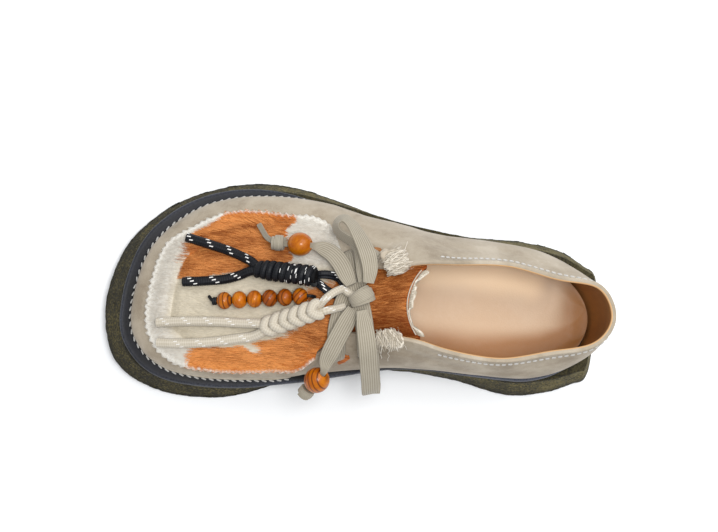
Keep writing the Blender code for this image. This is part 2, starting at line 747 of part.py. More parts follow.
def smooth_run(points, step):
    """Evenly spaced points on a smooth curve through a route's own points."""
    points = np.array(points, float)
    keys = np.concatenate([[0.0], np.cumsum(np.linalg.norm(np.diff(points[:, :3], axis=0), axis=1))])
    count = max(2, math.ceil(keys[-1] / step)) + 1
    return spline(keys, points, np.linspace(0.0, keys[-1], count))


def cord(name, route, diameter, step, finish_name, finish, collection):
    """A round cord along a route."""
    points = smooth_run(route, step)
    curve = bpy.data.curves.new(name, "CURVE")
    curve.dimensions = "3D"
    curve.bevel_depth = diameter / 2 * MM
    curve.bevel_resolution = 2
    curve.use_fill_caps = True
    run = curve.splines.new("POLY")
    run.points.add(len(points) - 1)
    for point, place in zip(run.points, points):
        point.co = (*(place * MM), 1.0)
    curve.materials.append(material(finish_name, finish))
    obj = bpy.data.objects.new(name, curve)
    collection.objects.link(obj)
    return obj


def unit(vectors):
    return vectors / np.linalg.norm(vectors, axis=-1, keepdims=True)


def ribbon_sides(along):
    """Level directions across a ribbon, kept on the same side where it folds back."""
    steep = 0.2
    sides = []
    for direction in along:
        side = np.cross(direction, (0.0, 0.0, 1.0))
        if np.linalg.norm(side) < steep and sides:
            side = sides[-1]
        side = unit(side)
        if sides and side @ sides[-1] < 0:
            side = -side
        sides.append(side)
    return np.array(sides)


def bow_edges(rows):
    """The two edges of a ribbon of the bow."""
    run = smooth_run(rows, RIBBON_STEP)
    along = unit(np.gradient(run[:, :3], axis=0))
    side = ribbon_sides(along)
    roll = np.radians(run[:, 4:5])
    across = side * np.cos(roll) + np.cross(along, side) * np.sin(roll)
    half = across * run[:, 3:4] / 2
    return run[:, :3] + half, run[:, :3] - half


def crossing_edges(rows, trees):
    """The two edges of a lace pulled tight over the tongue and the facings."""
    run = smooth_run(rows, RIBBON_STEP)
    centre = np.column_stack([run[:, :2], np.zeros(len(run))])
    along = unit(np.gradient(centre, axis=0))
    half = ribbon_sides(along) * LACE_WIDTH / 2
    edges = []
    for side in (half, -half):
        nearby = [(share, reach) for share in (0, 0.6, 1.2) for reach in (-1.5, 0, 1.5)]
        spots = [centre + side * share + along * reach for share, reach in nearby]
        heights = [[ground_z(trees, x, y) for x, y in spot[:, :2]] for spot in spots]
        edge = centre + side
        edge[:, 2] = np.max(heights, axis=0)
        for _ in range(len(edge) ** 2):
            edge[1:-1, 2] = np.maximum(edge[1:-1, 2], (edge[:-2, 2] + edge[2:, 2]) / 2)
        edge[:, 2] += DRAPE_GAP + LACE_THICK / 2 + run[:, 2]
        edges.append(edge)
    return edges


def ribbon(name, left, right, collection):
    """A flat lace between two edges."""
    along = unit(np.gradient((left + right) / 2, axis=0))
    half = unit(np.cross(along, left - right)) * LACE_THICK / 2
    bm = bmesh.new()
    lines = [left - half, right - half, right + half, left + half]
    verts = add_grid(bm, [list(line) for line in lines], closed=True)
    bm.faces.new([line[0] for line in verts])
    bm.faces.new([line[-1] for line in verts])
    return add_object(name, bm, "ribbed_lace", RIBBED_LACE, collection)


def make_crossing(trees, collection, cutters):
    """The crossed lace as one solid."""
    first, second = (crossing_edges(rows, trees) for rows in CROSSINGS)
    crossing = ribbon("lace_crossing", *first, collection)
    other = ribbon("lace_crossing_over", *second, cutters)
    other.hide_render = True
    other.display_type = "WIRE"
    join = crossing.modifiers.new("join", "BOOLEAN")
    join.operation = "UNION"
    join.object = other
    return crossing


def lump(name, centre, radii, trees, finish_name, finish, collection, locks=0):
    """A rounded lump pressed on what is under it; with locks its side is drawn out into strands."""
    bm = bmesh.new()
    bmesh.ops.create_uvsphere(bm, u_segments=2 * locks or 12, v_segments=7, radius=1.0)
    for vert in bm.verts:
        level = vert.co.z
        angle = math.atan2(vert.co.y, vert.co.x)
        grown = 1.0 + LOCK_DEPTH * math.sin(locks * angle) * (1 - level**2) if locks else 1.0
        vert.co = Vector(centre) + Vector(r * c * grown for r, c in zip(radii, vert.co))
        around = ((dx, dy) for dx in (-2, 0, 2) for dy in (-2, 0, 2))
        under = max(ground_z(trees, vert.co.x + dx, vert.co.y + dy) for dx, dy in around)
        vert.co.z = max(vert.co.z, under + DRAPE_GAP + LACE_THICK * (1 + level))
    return add_object(name, bm, finish_name, finish, collection)


def turned(name, profile, ends, steps, finish_name, finish, collection):
    """A turned piece on the line between two ends; the profile is radius and height from the middle."""
    start, end = ends
    bm = bmesh.new()
    verts = [bm.verts.new((radius, 0, height)) for radius, height in profile]
    pairs = zip(verts, verts[1:] + verts[:1]) if profile[0][0] else zip(verts, verts[1:])
    for near, far in pairs:
        bm.edges.new((near, far))
    obj = add_object(name, bm, finish_name, finish, collection)
    obj.location = (start + end) / 2 * MM
    obj.rotation_mode = "QUATERNION"
    obj.rotation_quaternion = (end - start).to_track_quat("Z", "Y")
    screw = obj.modifiers.new("turn", "SCREW")
    screw.steps = steps
    screw.render_steps = steps
    screw.use_merge_vertices = True
    screw.merge_threshold = 1e-5
    screw.use_smooth_shade = True
    return obj


def bead_profile(diameter, length, bore):
    """The outline of a bored bead, down its outside and back up the bore."""
    angles = np.linspace(0.5, -0.5, 6) * math.pi * 0.76
    outside = [(diameter / 2 * math.cos(a), length / 2 * math.sin(a) / math.sin(angles[0])) for a in angles]
    return outside + [(bore / 2, -length / 2), (bore / 2, length / 2)]


def wrapped_profile(diameter, length, wraps, groove):
    """The outline of a knot of wrapped cord, down its outside from axis to axis."""
    pitch = length / wraps
    outside = []
    for i in range(wraps):
        top = length / 2 - i * pitch
        outside.append((diameter / 2 - groove, top))
        outside.append((diameter / 2, top - 0.5 * pitch))
    outside.append((diameter / 2 - groove, -length / 2))
    return [(0.0, length / 2), *outside, (0.0, -length / 2)]


def make_bow(trees, collection):
    top = ground_z(trees, *KNOT_CENTRE)
    centre = (*KNOT_CENTRE, top + GAP + KNOT_RADII[2])
    lump("lace_knot", centre, KNOT_RADII, trees, "ribbed_lace", RIBBED_LACE, collection)
    ribbons = {
        "lace_loop_lateral": LOOP_LATERAL,
        "lace_loop_medial": LOOP_MEDIAL,
        "lace_end_lateral": END_LATERAL,
        "lace_end_medial": END_MEDIAL,
    }
    for name, rows in ribbons.items():
        ribbon(name, *bow_edges(rows), collection)


def along_axis(centre, axis, length):
    """The ends of a piece of this length centred on a point."""
    half = Vector(axis).normalized() * length / 2
    return centre - half, centre + half


def make_lace_ends(trees, collection):
    """The big bead, stop knot and cord tip of each lace end."""
    x, y = BEAD_LATERAL
    bead = Vector((x, y, rest_z(trees, x, y, BEAD_LATERAL_DIAMETER / 2)))
    stop_x = x - BEAD_LATERAL_DIAMETER / 2 - 3 * GAP
    stop = laid_line(trees, (Lay(stop_x, y, 0.0), Lay(stop_x - STOP_LENGTH, y, 0.0)), STOP_DIAMETER / 2)
    down = Vector(BEAD_MEDIAL_AXIS).normalized()
    low_bead = Vector(BEAD_MEDIAL)
    low_stop = low_bead + down * (BEAD_MEDIAL_DIAMETER / 2 + STOP_LENGTH / 2 + GAP)
    for side, ends, diameter in (
        ("lateral", along_axis(bead, (-1, 0, 0), BEAD_LATERAL_DIAMETER), BEAD_LATERAL_DIAMETER),
        ("medial", along_axis(low_bead, down, BEAD_MEDIAL_DIAMETER), BEAD_MEDIAL_DIAMETER),
    ):
        profile = bead_profile(diameter, diameter, BIG_BORE)
        turned(f"bead_end_{side}", profile, ends, BIG_STEPS, "turned_wood", TURNED_WOOD, collection)
    for side, ends in (("lateral", stop), ("medial", along_axis(low_stop, down, STOP_LENGTH))):
        profile = wrapped_profile(STOP_DIAMETER, (ends[1] - ends[0]).length, STOP_WRAPS, STOP_GROOVE)
        turned(f"knot_end_{side}", profile, ends, TURN_STEPS, "ribbed_lace", RIBBED_LACE, collection)
    route = laid_route(trees, LACE_TIP, TIP_DIAMETER / 2)
    cord("lace_tip_lateral", route, TIP_DIAMETER, 2 * TIP_DIAMETER, "ribbed_lace", RIBBED_LACE, collection)


def make_lanyards(trees, collection):
    """Two knotted lanyards, each with two tails at the toe and a bight that goes to the bow."""
    knots = (
        ("black_knot", BLACK_KNOT, BLACK_KNOT_DIAMETER, 1.0, BLACK_WRAPS, BLACK_GROOVE,
         "black_cord", BLACK_CORD),
        ("cream_knot", CREAM_KNOT, CREAM_KNOT_DIAMETER, CREAM_FLATNESS, CREAM_TURNS, CREAM_GROOVE,
         "cream_cord", CREAM_CORD),
    )
    for name, rows, diameter, flatness, wraps, groove, finish_name, finish in knots:
        ends = laid_line(trees, rows, flatness * diameter / 2)
        profile = wrapped_profile(diameter, (ends[1] - ends[0]).length, wraps, groove)
        knot = turned(name, profile, ends, TURN_STEPS, finish_name, finish, collection)
        knot.scale.y = flatness
    tail_step = 2 * TAIL_DIAMETER
    cords = (
        ("black_tail_upper", BLACK_TAIL_UPPER, TAIL_DIAMETER, tail_step, "black_cord", BLACK_CORD),
        ("black_tail_lower", BLACK_TAIL_LOWER, TAIL_DIAMETER, tail_step, "black_cord", BLACK_CORD),
        ("black_bight", BLACK_BIGHT, STRAND_DIAMETER, BIGHT_STEP, "black_cord", BLACK_CORD),
        ("cream_tail_upper", CREAM_TAIL_UPPER, TAIL_DIAMETER, tail_step, "cream_cord", CREAM_CORD),
        ("cream_tail_lower", CREAM_TAIL_LOWER, TAIL_DIAMETER, tail_step, "cream_cord", CREAM_CORD),
        ("cream_bight_upper", CREAM_BIGHT_UPPER, BIGHT_DIAMETER, BIGHT_STEP, "cream_cord", CREAM_CORD),
        ("cream_bight_lower", CREAM_BIGHT_LOWER, BIGHT_DIAMETER, BIGHT_STEP, "cream_cord", CREAM_CORD),
    )
    for name, rows, diameter, step, finish_name, finish in cords:
        route = laid_route(trees, rows, diameter / 2)
        cord(name, route, diameter, step, finish_name, finish, collection)


def make_bead_row(trees, collection):
    """Small beads side by side on a thin cord."""
    first, last = laid_line(trees, BEAD_ROW, SMALL_BEAD_DIAMETER / 2)
    profile = bead_profile(SMALL_BEAD_DIAMETER, SMALL_BEAD_LENGTH, SMALL_BORE)
    for i in range(SMALL_BEADS):
        ends = along_axis(first.lerp(last, i / (SMALL_BEADS - 1)), last - first, SMALL_BEAD_LENGTH)
        turned(f"small_bead_{i + 1}", profile, ends, TURN_STEPS, "turned_wood", TURNED_WOOD, collection)
    past = (last - first).normalized() * 0.75 * SMALL_BEAD_LENGTH
    start, end = laid_route(trees, BEAD_CORD_ENDS, BEAD_CORD_DIAMETER / 2)
    route = [start, first - past, first, first.lerp(last, 0.5), last, last + past, end]
    step = 2 * BEAD_CORD_DIAMETER
    cord("bead_cord", route, BEAD_CORD_DIAMETER, step, "black_cord", BLACK_CORD, collection)


def make_tufts(trees, collection):
    for name, tuft in (("tuft_lateral", TUFT_LATERAL), ("tuft_medial", TUFT_MEDIAL)):
        reach = (tuft.reach_x, tuft.reach_y, tuft.reach_z)
        centre = (tuft.x, tuft.y, ground_z(trees, tuft.x, tuft.y) + 0.7 * tuft.reach_z)
        lump(name, centre, reach, trees, "raw_cotton", RAW_COTTON, collection, tuft.locks)


def new_collection(name):
    made = bpy.data.collections.new(name)
    bpy.context.scene.collection.children.link(made)
    return made


def main():
    for obj in list(bpy.data.objects):
        bpy.data.objects.remove(obj)
    shoe = new_collection("moccasin_shoe")
    cutters = new_collection("cutters")
    cutters.hide_render = True
    make_outsole(shoe, cutters)
    make_midsole(shoe)
    make_insole(shoe)
    trees = [tree_of(make_upper(shoe)), tree_of(make_hide(shoe))]
    make_lanyards(trees, shoe)
    make_bead_row(trees, shoe)
    make_lace_ends(trees, shoe)
    make_tufts(trees, shoe)
    crossing = make_crossing(trees, shoe, cutters)
    make_bow([*trees, tree_of(crossing)], shoe)


main()
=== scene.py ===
"""The looks of a low-top moccasin for the right foot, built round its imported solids.

X runs along the foot with the toe towards -X, +Y is the outer (lateral) side and +Z is up. Shapes are
worked out in millimetres, in the same terms as the solids, and become metres where a mesh is made.
"""

import logging
import math
from collections.abc import Callable, Sequence
from dataclasses import dataclass, field
from enum import Enum
from typing import NamedTuple, TypeVar

import bmesh
import bpy
import numpy as np
from mathutils import Matrix, Vector
from mathutils.bvhtree import BVHTree


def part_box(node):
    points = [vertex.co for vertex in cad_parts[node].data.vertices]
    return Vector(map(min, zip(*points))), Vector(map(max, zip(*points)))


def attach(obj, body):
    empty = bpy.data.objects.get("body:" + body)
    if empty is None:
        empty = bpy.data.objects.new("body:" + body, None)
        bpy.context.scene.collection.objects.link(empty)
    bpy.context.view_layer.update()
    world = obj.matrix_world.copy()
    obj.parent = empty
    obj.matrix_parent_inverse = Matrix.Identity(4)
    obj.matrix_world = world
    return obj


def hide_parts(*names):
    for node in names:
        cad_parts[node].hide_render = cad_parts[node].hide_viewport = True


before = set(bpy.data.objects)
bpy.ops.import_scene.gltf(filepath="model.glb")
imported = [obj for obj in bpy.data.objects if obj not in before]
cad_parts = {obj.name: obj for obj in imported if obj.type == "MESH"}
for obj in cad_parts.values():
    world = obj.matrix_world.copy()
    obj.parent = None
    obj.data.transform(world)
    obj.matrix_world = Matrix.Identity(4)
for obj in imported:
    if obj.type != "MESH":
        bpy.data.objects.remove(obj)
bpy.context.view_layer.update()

LOG = logging.getLogger("moccasin")
Array = np.ndarray
Piece = bpy.types.Object
Material = bpy.types.Material
Colour = tuple[float, float, float]
Row = TypeVar("Row")
MM = 0.001
BODY = "root"
UP = np.array([0.0, 0.0, 1.0])
DOWN = Vector((0.0, 0.0, -1.0))
SHARP = math.radians(50.0)


class Slot(Enum):
    """Names of material slots."""

    CREPE = "olive_crepe"
    RUBBER = "black_rubber"
    LEATHER = "tan_leather"
    SUEDE = "taupe_suede"
    HIDE = "hair_hide"
    LACE = "ribbed_lace"
    WOOD = "turned_wood"
    BLACK_CORD = "black_cord"
    CREAM_CORD = "cream_cord"
    COTTON = "raw_cotton"


class Side(Enum):
    """The two sides of the foot, with the sign that the outline's angle has there."""

    LATERAL = 1
    MEDIAL = -1


class FarEnd(Enum):
    """What is on the end of a free cord."""

    BARE = "bare"
    KNOT = "knot"
    OBJECT = "object"


class Stiffness(Enum):
    """How stiff a free cord is."""

    LIMP = "limp"
    MEDIUM = "medium"


# Sizes shared with the solids, in millimetres
SOLE_LENGTH = 289.0
FOOT_LENGTH = 266.5
FOOT_TOE_X = -130.0
TOP_TOE_X = -114.0
TOP_HEEL_X = 138.0
FOREFOOT_TOP = 17.0
HEEL_TOP = 25.0
MIDSOLE_THICK = 6.0
INSOLE_THICK = 3.0
UPPER_WALL = 2.8
HIDE_THICK = 2.2
GAP = 0.3
TOE_SPRING = 9.0
SPRING_START_X = -88.0
ARCH_RISE = 6.0
ARCH_START_X = -6.0
ARCH_END_X = 60.0
WEDGE_START_X = -60.0
WEDGE_END_X = 80.0
LAP_START_V = 0.83
APRON_END = 0.36
LAP_END = 0.402
DIP_START = 0.374
DIP = 0.405
TUCK_START = 0.42
TONGUE_END = 0.575
TONGUE_NOTCH = 0.035
DIP_INSET = 0.90
DOME = 0.30
SOLID_STATIONS = 40


def rows_of(kind: type[Row], *rows: tuple[float, ...]) -> tuple[Row, ...]:
    """A table's rows, each as a named row of its kind."""
    return tuple(kind(*row) for row in rows)


class SoleRow(NamedTuple):
    """The sole's outline on the floor at x: y on each side."""

    x: float
    lateral: float
    medial: float


SOLE_ROWS = rows_of(
    SoleRow,
    (-144.5, -16.0, -16.0), (-142.2, 1.5, -34.0), (-136.4, 18.7, -47.5), (-127.3, 31.7, -56.0),
    (-113.5, 45.3, -61.9), (-92.0, 57.0, -64.9), (-62.0, 64.9, -61.0), (-40.0, 64.4, -52.0),
    (-12.5, 58.9, -43.0), (24.0, 49.5, -37.5), (60.0, 47.2, -38.4), (97.0, 48.0, -44.2),
    (118.0, 45.5, -40.2), (134.5, 38.0, -33.2), (141.6, 33.4, -29.0), (143.4, 28.5, -23.0),
    (144.5, 2.0, 2.0),
)


class EdgeRow(NamedTuple):
    """How far the sole's side leans in, and how far the midsole stands out past the upper."""

    x: float
    flare: float
    ledge: float


EDGE_ROWS = rows_of(
    EdgeRow,
    (-144.5, 9.4, 5.0), (-125.0, 7.2, 5.0), (-60.0, 5.9, 4.8), (-10.0, 4.0, 3.0), (25.0, 1.4, 1.4),
    (60.0, 3.2, 1.6), (100.0, 6.6, 2.4), (144.5, 6.0, 2.4),
)


class Rib(NamedTuple):
    """A section of the last on one side, from the featherline up to the top edge."""

    along: float
    foot: float
    belly_out: float
    belly_up: float
    top_y: float
    top_z: float
    shoulder_out: float
    shoulder_down: float


TOE_RIB = Rib(0.0, -20.0, 2.5, 9.0, -19.0, 49.0, 6.0, 2.5)
LATERAL_RIBS = rows_of(
    Rib,
    (0.025, 16.0, 2.5, 9.0, 14.0, 50.0, 6.0, 2.6), (0.07, 33.0, 2.5, 10.0, 22.8, 51.5, 6.5, 2.8),
    (0.15, 47.2, 3.0, 12.0, 33.0, 54.5, 8.0, 3.0), (0.27, 53.8, 3.5, 15.0, 33.0, 60.0, 10.0, 4.0),
    (0.355, 52.0, 4.0, 17.0, 29.5, 65.5, 12.0, 5.5), (0.40, 50.0, 4.0, 18.0, 17.0, 73.5, 15.0, 7.0),
    (0.47, 46.3, 4.0, 19.0, 14.5, 81.5, 14.0, 8.0), (0.57, 42.2, 4.0, 20.0, 19.0, 91.0, 10.0, 12.0),
    (0.64, 40.8, 4.0, 20.0, 21.5, 84.0, 6.5, 13.0), (0.75, 40.2, 4.0, 20.0, 25.0, 77.0, 4.0, 14.0),
    (0.87, 37.0, 4.5, 20.0, 20.5, 78.5, 4.0, 14.0), (0.96, 23.0, 4.5, 20.0, 17.6, 83.0, 3.0, 15.0),
)
MEDIAL_RIBS = rows_of(
    Rib,
    (0.025, -41.0, 2.5, 9.0, -38.0, 50.0, 6.0, 2.6), (0.07, -50.3, 2.5, 10.0, -45.0, 51.5, 6.0, 2.8),
    (0.15, -54.0, 2.5, 12.0, -46.6, 54.5, 6.0, 3.2), (0.27, -52.2, 2.5, 15.0, -43.0, 60.0, 7.0, 4.2),
    (0.355, -48.3, 3.0, 17.0, -38.5, 65.5, 8.0, 5.5), (0.40, -46.3, 3.0, 18.0, -27.0, 73.5, 11.0, 7.0),
    (0.47, -42.0, 3.5, 19.0, -24.5, 81.5, 10.0, 8.0), (0.57, -36.8, 4.5, 20.0, -26.5, 91.0, 7.0, 12.0),
    (0.64, -35.2, 5.0, 20.0, -29.3, 84.0, 4.5, 13.0), (0.75, -35.4, 4.5, 20.0, -30.5, 77.0, 3.5, 14.0),
    (0.87, -34.0, 4.0, 20.0, -23.5, 78.5, 4.0, 14.0), (0.96, -22.3, 4.5, 20.0, -16.8, 83.0, 3.0, 15.0),
)
HEEL_RIB = Rib(1.0, 0.5, 4.5, 20.0, 0.0, 85.0, 2.0, 15.0)


class Tie(NamedTuple):
    """A place of a bow's ribbon, its width there and how it is rolled, in degrees."""

    x: float
    y: float
    z: float
    width: float
    roll: float = 0.0


class Lay(NamedTuple):
    """A place of a cord laid on what is under it, with its lift above where it would rest."""

    x: float
    y: float
    lift: float


# Routes of the bow, the crossing, the lanyards and the bead row
LOOP_LATERAL = rows_of(
    Tie,
    (-0.2, 3.4, 91.0, 6.0, 0), (-0.1, 11.0, 91.6, 8.5, 4), (-1.8, 17.9, 90.6, 9.5, 10),
    (-4.5, 24.0, 88.0, 9.5, 20), (-7.5, 29.4, 85.0, 9.5, 32), (-10.6, 34.2, 82.0, 9.5, 44),
    (-13.9, 37.7, 79.8, 9.5, 54), (-17.1, 38.9, 78.6, 9.5, 62), (-19.4, 36.9, 78.4, 9.5, 68),
    (-20.2, 33.9, 78.8, 9.5, 72), (-18.5, 30.6, 79.6, 9.5, 72), (-14.5, 27.9, 81.4, 9.5, 70),
    (-10.6, 25.6, 83.0, 9.5, 66), (-7.6, 22.4, 84.6, 9.0, 58), (-5.6, 18.0, 86.0, 8.5, 44),
    (-4.4, 13.4, 86.8, 7.5, 28), (-3.6, 8.3, 87.2, 6.5, 12), (-2.9, 3.7, 87.4, 5.0, 0),
)
LOOP_MEDIAL = rows_of(
    Tie,
    (-2.4, -12.0, 92.2, 6.0), (0.2, -20.2, 92.0, 9.0), (3.0, -30.6, 89.0, 10.0),
    (5.6, -40.4, 79.9, 10.0), (8.0, -48.0, 69.3, 10.0), (9.8, -53.4, 59.0, 10.0),
    (10.4, -53.8, 55.0, 10.0), (10.6, -50.6, 54.4, 10.0), (10.0, -48.4, 57.6, 10.0),
    (8.4, -43.6, 66.0, 10.0), (6.6, -37.2, 75.4, 10.0), (4.2, -29.6, 85.2, 9.0), (1.2, -20.4, 88.2, 7.0),
    (-1.0, -12.4, 88.6, 5.0),
)
END_LATERAL = rows_of(
    Tie,
    (-9.0, 1.8, 86.4, 6.0), (-11.8, 6.6, 84.8, 9.0), (-15.6, 13.2, 82.0, 10.0), (-20.4, 18.4, 78.8, 9.5),
    (-26.4, 21.4, 76.0, 8.0), (-31.4, 22.0, 74.8, 4.0),
)
END_MEDIAL = rows_of(
    Tie,
    (-6.4, -11.0, 86.0, 7.0), (-8.8, -17.0, 85.4, 9.5), (-12.2, -25.4, 83.0, 10.0),
    (-15.2, -33.4, 79.2, 10.0), (-17.4, -40.4, 74.6, 8.0), (-18.0, -45.6, 71.6, 4.0),
)
CROSSING_UNDER = rows_of(
    Lay,
    (-12.0, -34.0, 0.0), (-13.6, -25.0, 0.4), (-13.0, -15.0, 1.0), (-10.6, -4.0, 0.6), (-4.8, 6.0, 0.1),
    (-1.0, 14.0, 0.0), (0.6, 20.5, 0.0),
)
CROSSING_OVER = rows_of(
    Lay,
    (-11.0, 22.5, 0.0), (-8.0, 9.0, 1.4), (-4.0, -4.0, 1.6), (0.0, -17.0, 0.6), (3.0, -31.0, 0.0),
)
LACE_TIP = (Lay(-56.4, 24.4, 2.6), Lay(-59.2, 28.0, 0.8), Lay(-62.0, 32.2, 0.2))
BLACK_KNOT = (Lay(-62.0, 6.2, 0.0), Lay(-27.2, 4.4, 3.5))
BLACK_TAIL_UPPER = rows_of(
    Lay,
    (-64.4, 10.4, 2.4), (-69.0, 12.6, 0.6), (-75.0, 14.8, 0.2), (-88.0, 18.2, 0.2), (-101.0, 21.2, 0.3),
)
BLACK_TAIL_LOWER = rows_of(
    Lay,
    (-65.0, 4.4, 2.4), (-69.0, 2.4, 0.6), (-75.0, 0.0, 0.2), (-88.0, -2.6, 0.2), (-100.4, -4.2, 0.3),
)
BLACK_BIGHT = rows_of(
    Lay,
    (-28.6, 6.0, 4.0), (-24.8, 6.8, 4.6), (-20.4, 7.0, 2.8), (-16.2, 6.2, 1.4), (-12.8, 3.0, 1.0),
    (-13.4, -1.6, 1.0), (-17.0, -3.4, 1.4), (-21.0, -2.4, 2.4), (-25.0, 0.2, 3.6), (-28.6, 2.6, 3.8),
)
CREAM_KNOT = (Lay(-53.8, -25.8, 0.0), Lay(-25.0, -13.0, 5.5))
CREAM_TAIL_UPPER = rows_of(
    Lay,
    (-56.8, -23.6, 1.6), (-63.0, -23.9, 0.4), (-80.0, -24.6, 0.2), (-97.0, -26.0, 0.2),
    (-112.0, -27.8, 0.3),
)
CREAM_TAIL_LOWER = rows_of(
    Lay,
    (-54.8, -28.6, 1.6), (-59.0, -30.8, 0.6), (-66.0, -32.4, 0.3), (-80.0, -35.6, 0.2),
    (-96.0, -38.0, 0.2), (-110.6, -39.0, 0.3),
)
CREAM_BIGHT_UPPER = rows_of(
    Lay,
    (-27.6, -13.2, 5.0), (-24.6, -10.6, 6.0), (-22.4, -7.6, 7.2), (-19.2, -4.4, 7.6), (-15.8, -1.9, 7.2),
    (-12.8, -0.8, 5.6), (-10.2, -2.2, 4.0), (-7.4, -3.6, 3.0),
)
CREAM_BIGHT_LOWER = rows_of(
    Lay,
    (-27.4, -14.6, 4.8), (-24.0, -14.7, 5.4), (-21.6, -13.8, 5.6), (-18.2, -12.5, 4.6),
    (-14.0, -10.9, 3.0), (-10.6, -9.6, 2.2),
)
BEAD_ROW = (Lay(-76.4, -12.8, 0.0), Lay(-35.6, -6.8, 0.0))
BEAD_CORD_ENDS = (Lay(-85.0, -11.0, 0.4), Lay(-27.4, -6.0, 0.6))


def unit(vectors: Array) -> Array:
    """Vectors scaled to length one."""
    return vectors / np.maximum(np.linalg.norm(vectors, axis=-1, keepdims=True), 1e-9)


def square_to(axis: Array) -> tuple[Array, Array]:
    """The level direction square to an axis, and the direction that rises square to both."""
    side = unit(np.cross(axis, UP))
    return side, np.cross(side, axis)


def moved(start: Array, *ways: tuple[Array, Array | float]) -> Array:
    """Points moved away from a start.

    Args:
        start: Where they start, as one point or as one for each.
        ways: Directions, each with how far to go that way.

    Returns:
        The points where they end up.
    """
    for way, distance in ways:
        start = start + way * np.asarray(distance)[..., None]
    return start


def bezier(controls: Sequence[Array], t: Array) -> Array:
    """Points on cubic curves.

    Args:
        controls: The four control points of each curve.
        t: How far along each curve, from 0 to 1.

    Returns:
        One point on each curve.
    """
    first, second, third, fourth = controls
    t = np.reshape(t, (-1, 1))
    return first * (1 - t) ** 3 + 3 * second * t * (1 - t) ** 2 + 3 * third * t * t * (1 - t) + fourth * t**3


def smooth_step(x: Array | float, start: float, end: float) -> Array:
    """An even ramp from 0 at start to 1 at end."""
    t = np.clip((np.asarray(x, float) - start) / (end - start), 0.0, 1.0)
    return t * t * (3.0 - 2.0 * t)


def bell(x: Array, middle: float, width: float) -> Array:
    """A soft hump of height one."""
    return np.exp(-(((x - middle) / width) ** 2))


def full_turn(count: int) -> Array:
    """Angles evenly spaced round a whole turn."""
    return np.linspace(0.0, math.tau, count, endpoint=False)


def spline(keys: Sequence[float], values: Sequence, query: Array, period: float | None = None) -> Array:
    """A smooth curve through rows of values.

    Args:
        keys: Where each row stands.
        values: The rows, as numbers or as points.
        query: Where the curve is wanted.
        period: The length after which a closed curve comes round again.

    Returns:
        The curve's values at the query.
    """
    keys = np.asarray(keys, float)
    values = np.asarray(values, float)
    query = np.asarray(query, float)
    if period:
        keys = np.concatenate([keys[-2:] - period, keys, keys[:2] + period])
        values = np.concatenate([values[-2:], values, values[:2]])
        query = (query - keys[2]) % period + keys[2]
    steps = np.diff(keys)
    tail = (1,) * (values.ndim - 1)
    slopes = np.diff(values, axis=0) / steps.reshape((-1, *tail))
    before = np.concatenate([slopes[:1], slopes])
    after = np.concatenate([slopes, slopes[-1:]])
    left = np.concatenate([steps[:1], steps])
    right = np.concatenate([steps, steps[-1:]])
    share = (left / (left + right)).reshape((-1, *tail))
    tangents = before * (1.0 - share) + after * share
    span = np.clip(np.searchsorted(keys, query, side="right") - 1, 0, len(keys) - 2)
    width = steps[span]
    t = (query - keys[span]) / width
    if values.ndim > 1:
        t, width = t[..., None], width[..., None]
    return (
        values[span] * (1 + 2 * t) * (1 - t) ** 2
        + tangents[span] * width * t * (1 - t) ** 2
        + values[span + 1] * t * t * (3 - 2 * t)
        + tangents[span + 1] * width * t * t * (t - 1)
    )


def run_lengths(points: Array) -> Array:
    """How far along a line each of its points is."""
    return np.concatenate([[0.0], np.cumsum(np.linalg.norm(np.diff(points[:, :3], axis=0), axis=1))])


def smooth_run(points: Sequence, step: float) -> Array:
    """Evenly spaced points on a smooth curve through a route's own points.

    Args:
        points: The route's points; columns past the third ride along.
        step: The longest step between points.

    Returns:
        The points, with as many columns as the route.
    """
    points = np.array(points, float)
    keys = run_lengths(points)
    count = max(2, math.ceil(keys[-1] / step)) + 1
    return spline(keys, points, np.linspace(0.0, keys[-1], count))


def along_line(distance: Array, lengths: Array, values: Array) -> Array:
    """Values of a line's points, read at distances along it."""
    return np.stack([np.interp(distance, lengths, values[:, axis]) for axis in range(3)], axis=-1)


class Lumps:
    """Soft seeded noise in space, from -1 to 1."""

    CELLS = 32

    def __init__(self, seed: int) -> None:
        """Draws the values at the corners of the cells."""
        self.corners = np.random.default_rng(seed).uniform(-1.0, 1.0, (self.CELLS,) * 3)

    def __call__(self, points: Array, size: float) -> Array:
        """The noise at points.

        Args:
            points: Points in millimetres.
            size: The size of one lump in millimetres.

        Returns:
            One value for each point.
        """
        place = np.asarray(points, float) / size
        cell = np.floor(place).astype(int)
        t = place - cell
        t = t * t * (3.0 - 2.0 * t)
        total = np.zeros(place.shape[:-1])
        for corner in np.ndindex(2, 2, 2):
            at = (cell + corner) % self.CELLS
            share = np.prod(np.where(corner, t, 1.0 - t), axis=-1)
            total += share * self.corners[at[..., 0], at[..., 1], at[..., 2]]
        return total


def loop_angle(along: Array | float) -> Array:
    """The angle that walks round a closed outline, for a share of the length."""
    return np.arccos(1.0 - 2.0 * np.asarray(along, float)) / np.pi


def loop_along(angle: Array | float) -> Array:
    """The share of the length at an angle of the outline; the toe is 0 and the heel 1."""
    return (1.0 - np.cos(np.pi * np.asarray(angle, float))) / 2.0


def loop_angles(half: Array) -> Array:
    """Angles round an outline, from the toe along the outer side to the heel and back."""
    return np.concatenate([half, -half[-2:0:-1]])


def toe_lift(x: Array) -> Array:
    """How far toe spring lifts the sole at x."""
    reach = (SPRING_START_X - np.asarray(x, float)) / (SPRING_START_X + SOLE_LENGTH / 2)
    return TOE_SPRING * np.clip(reach, 0, None) ** 2


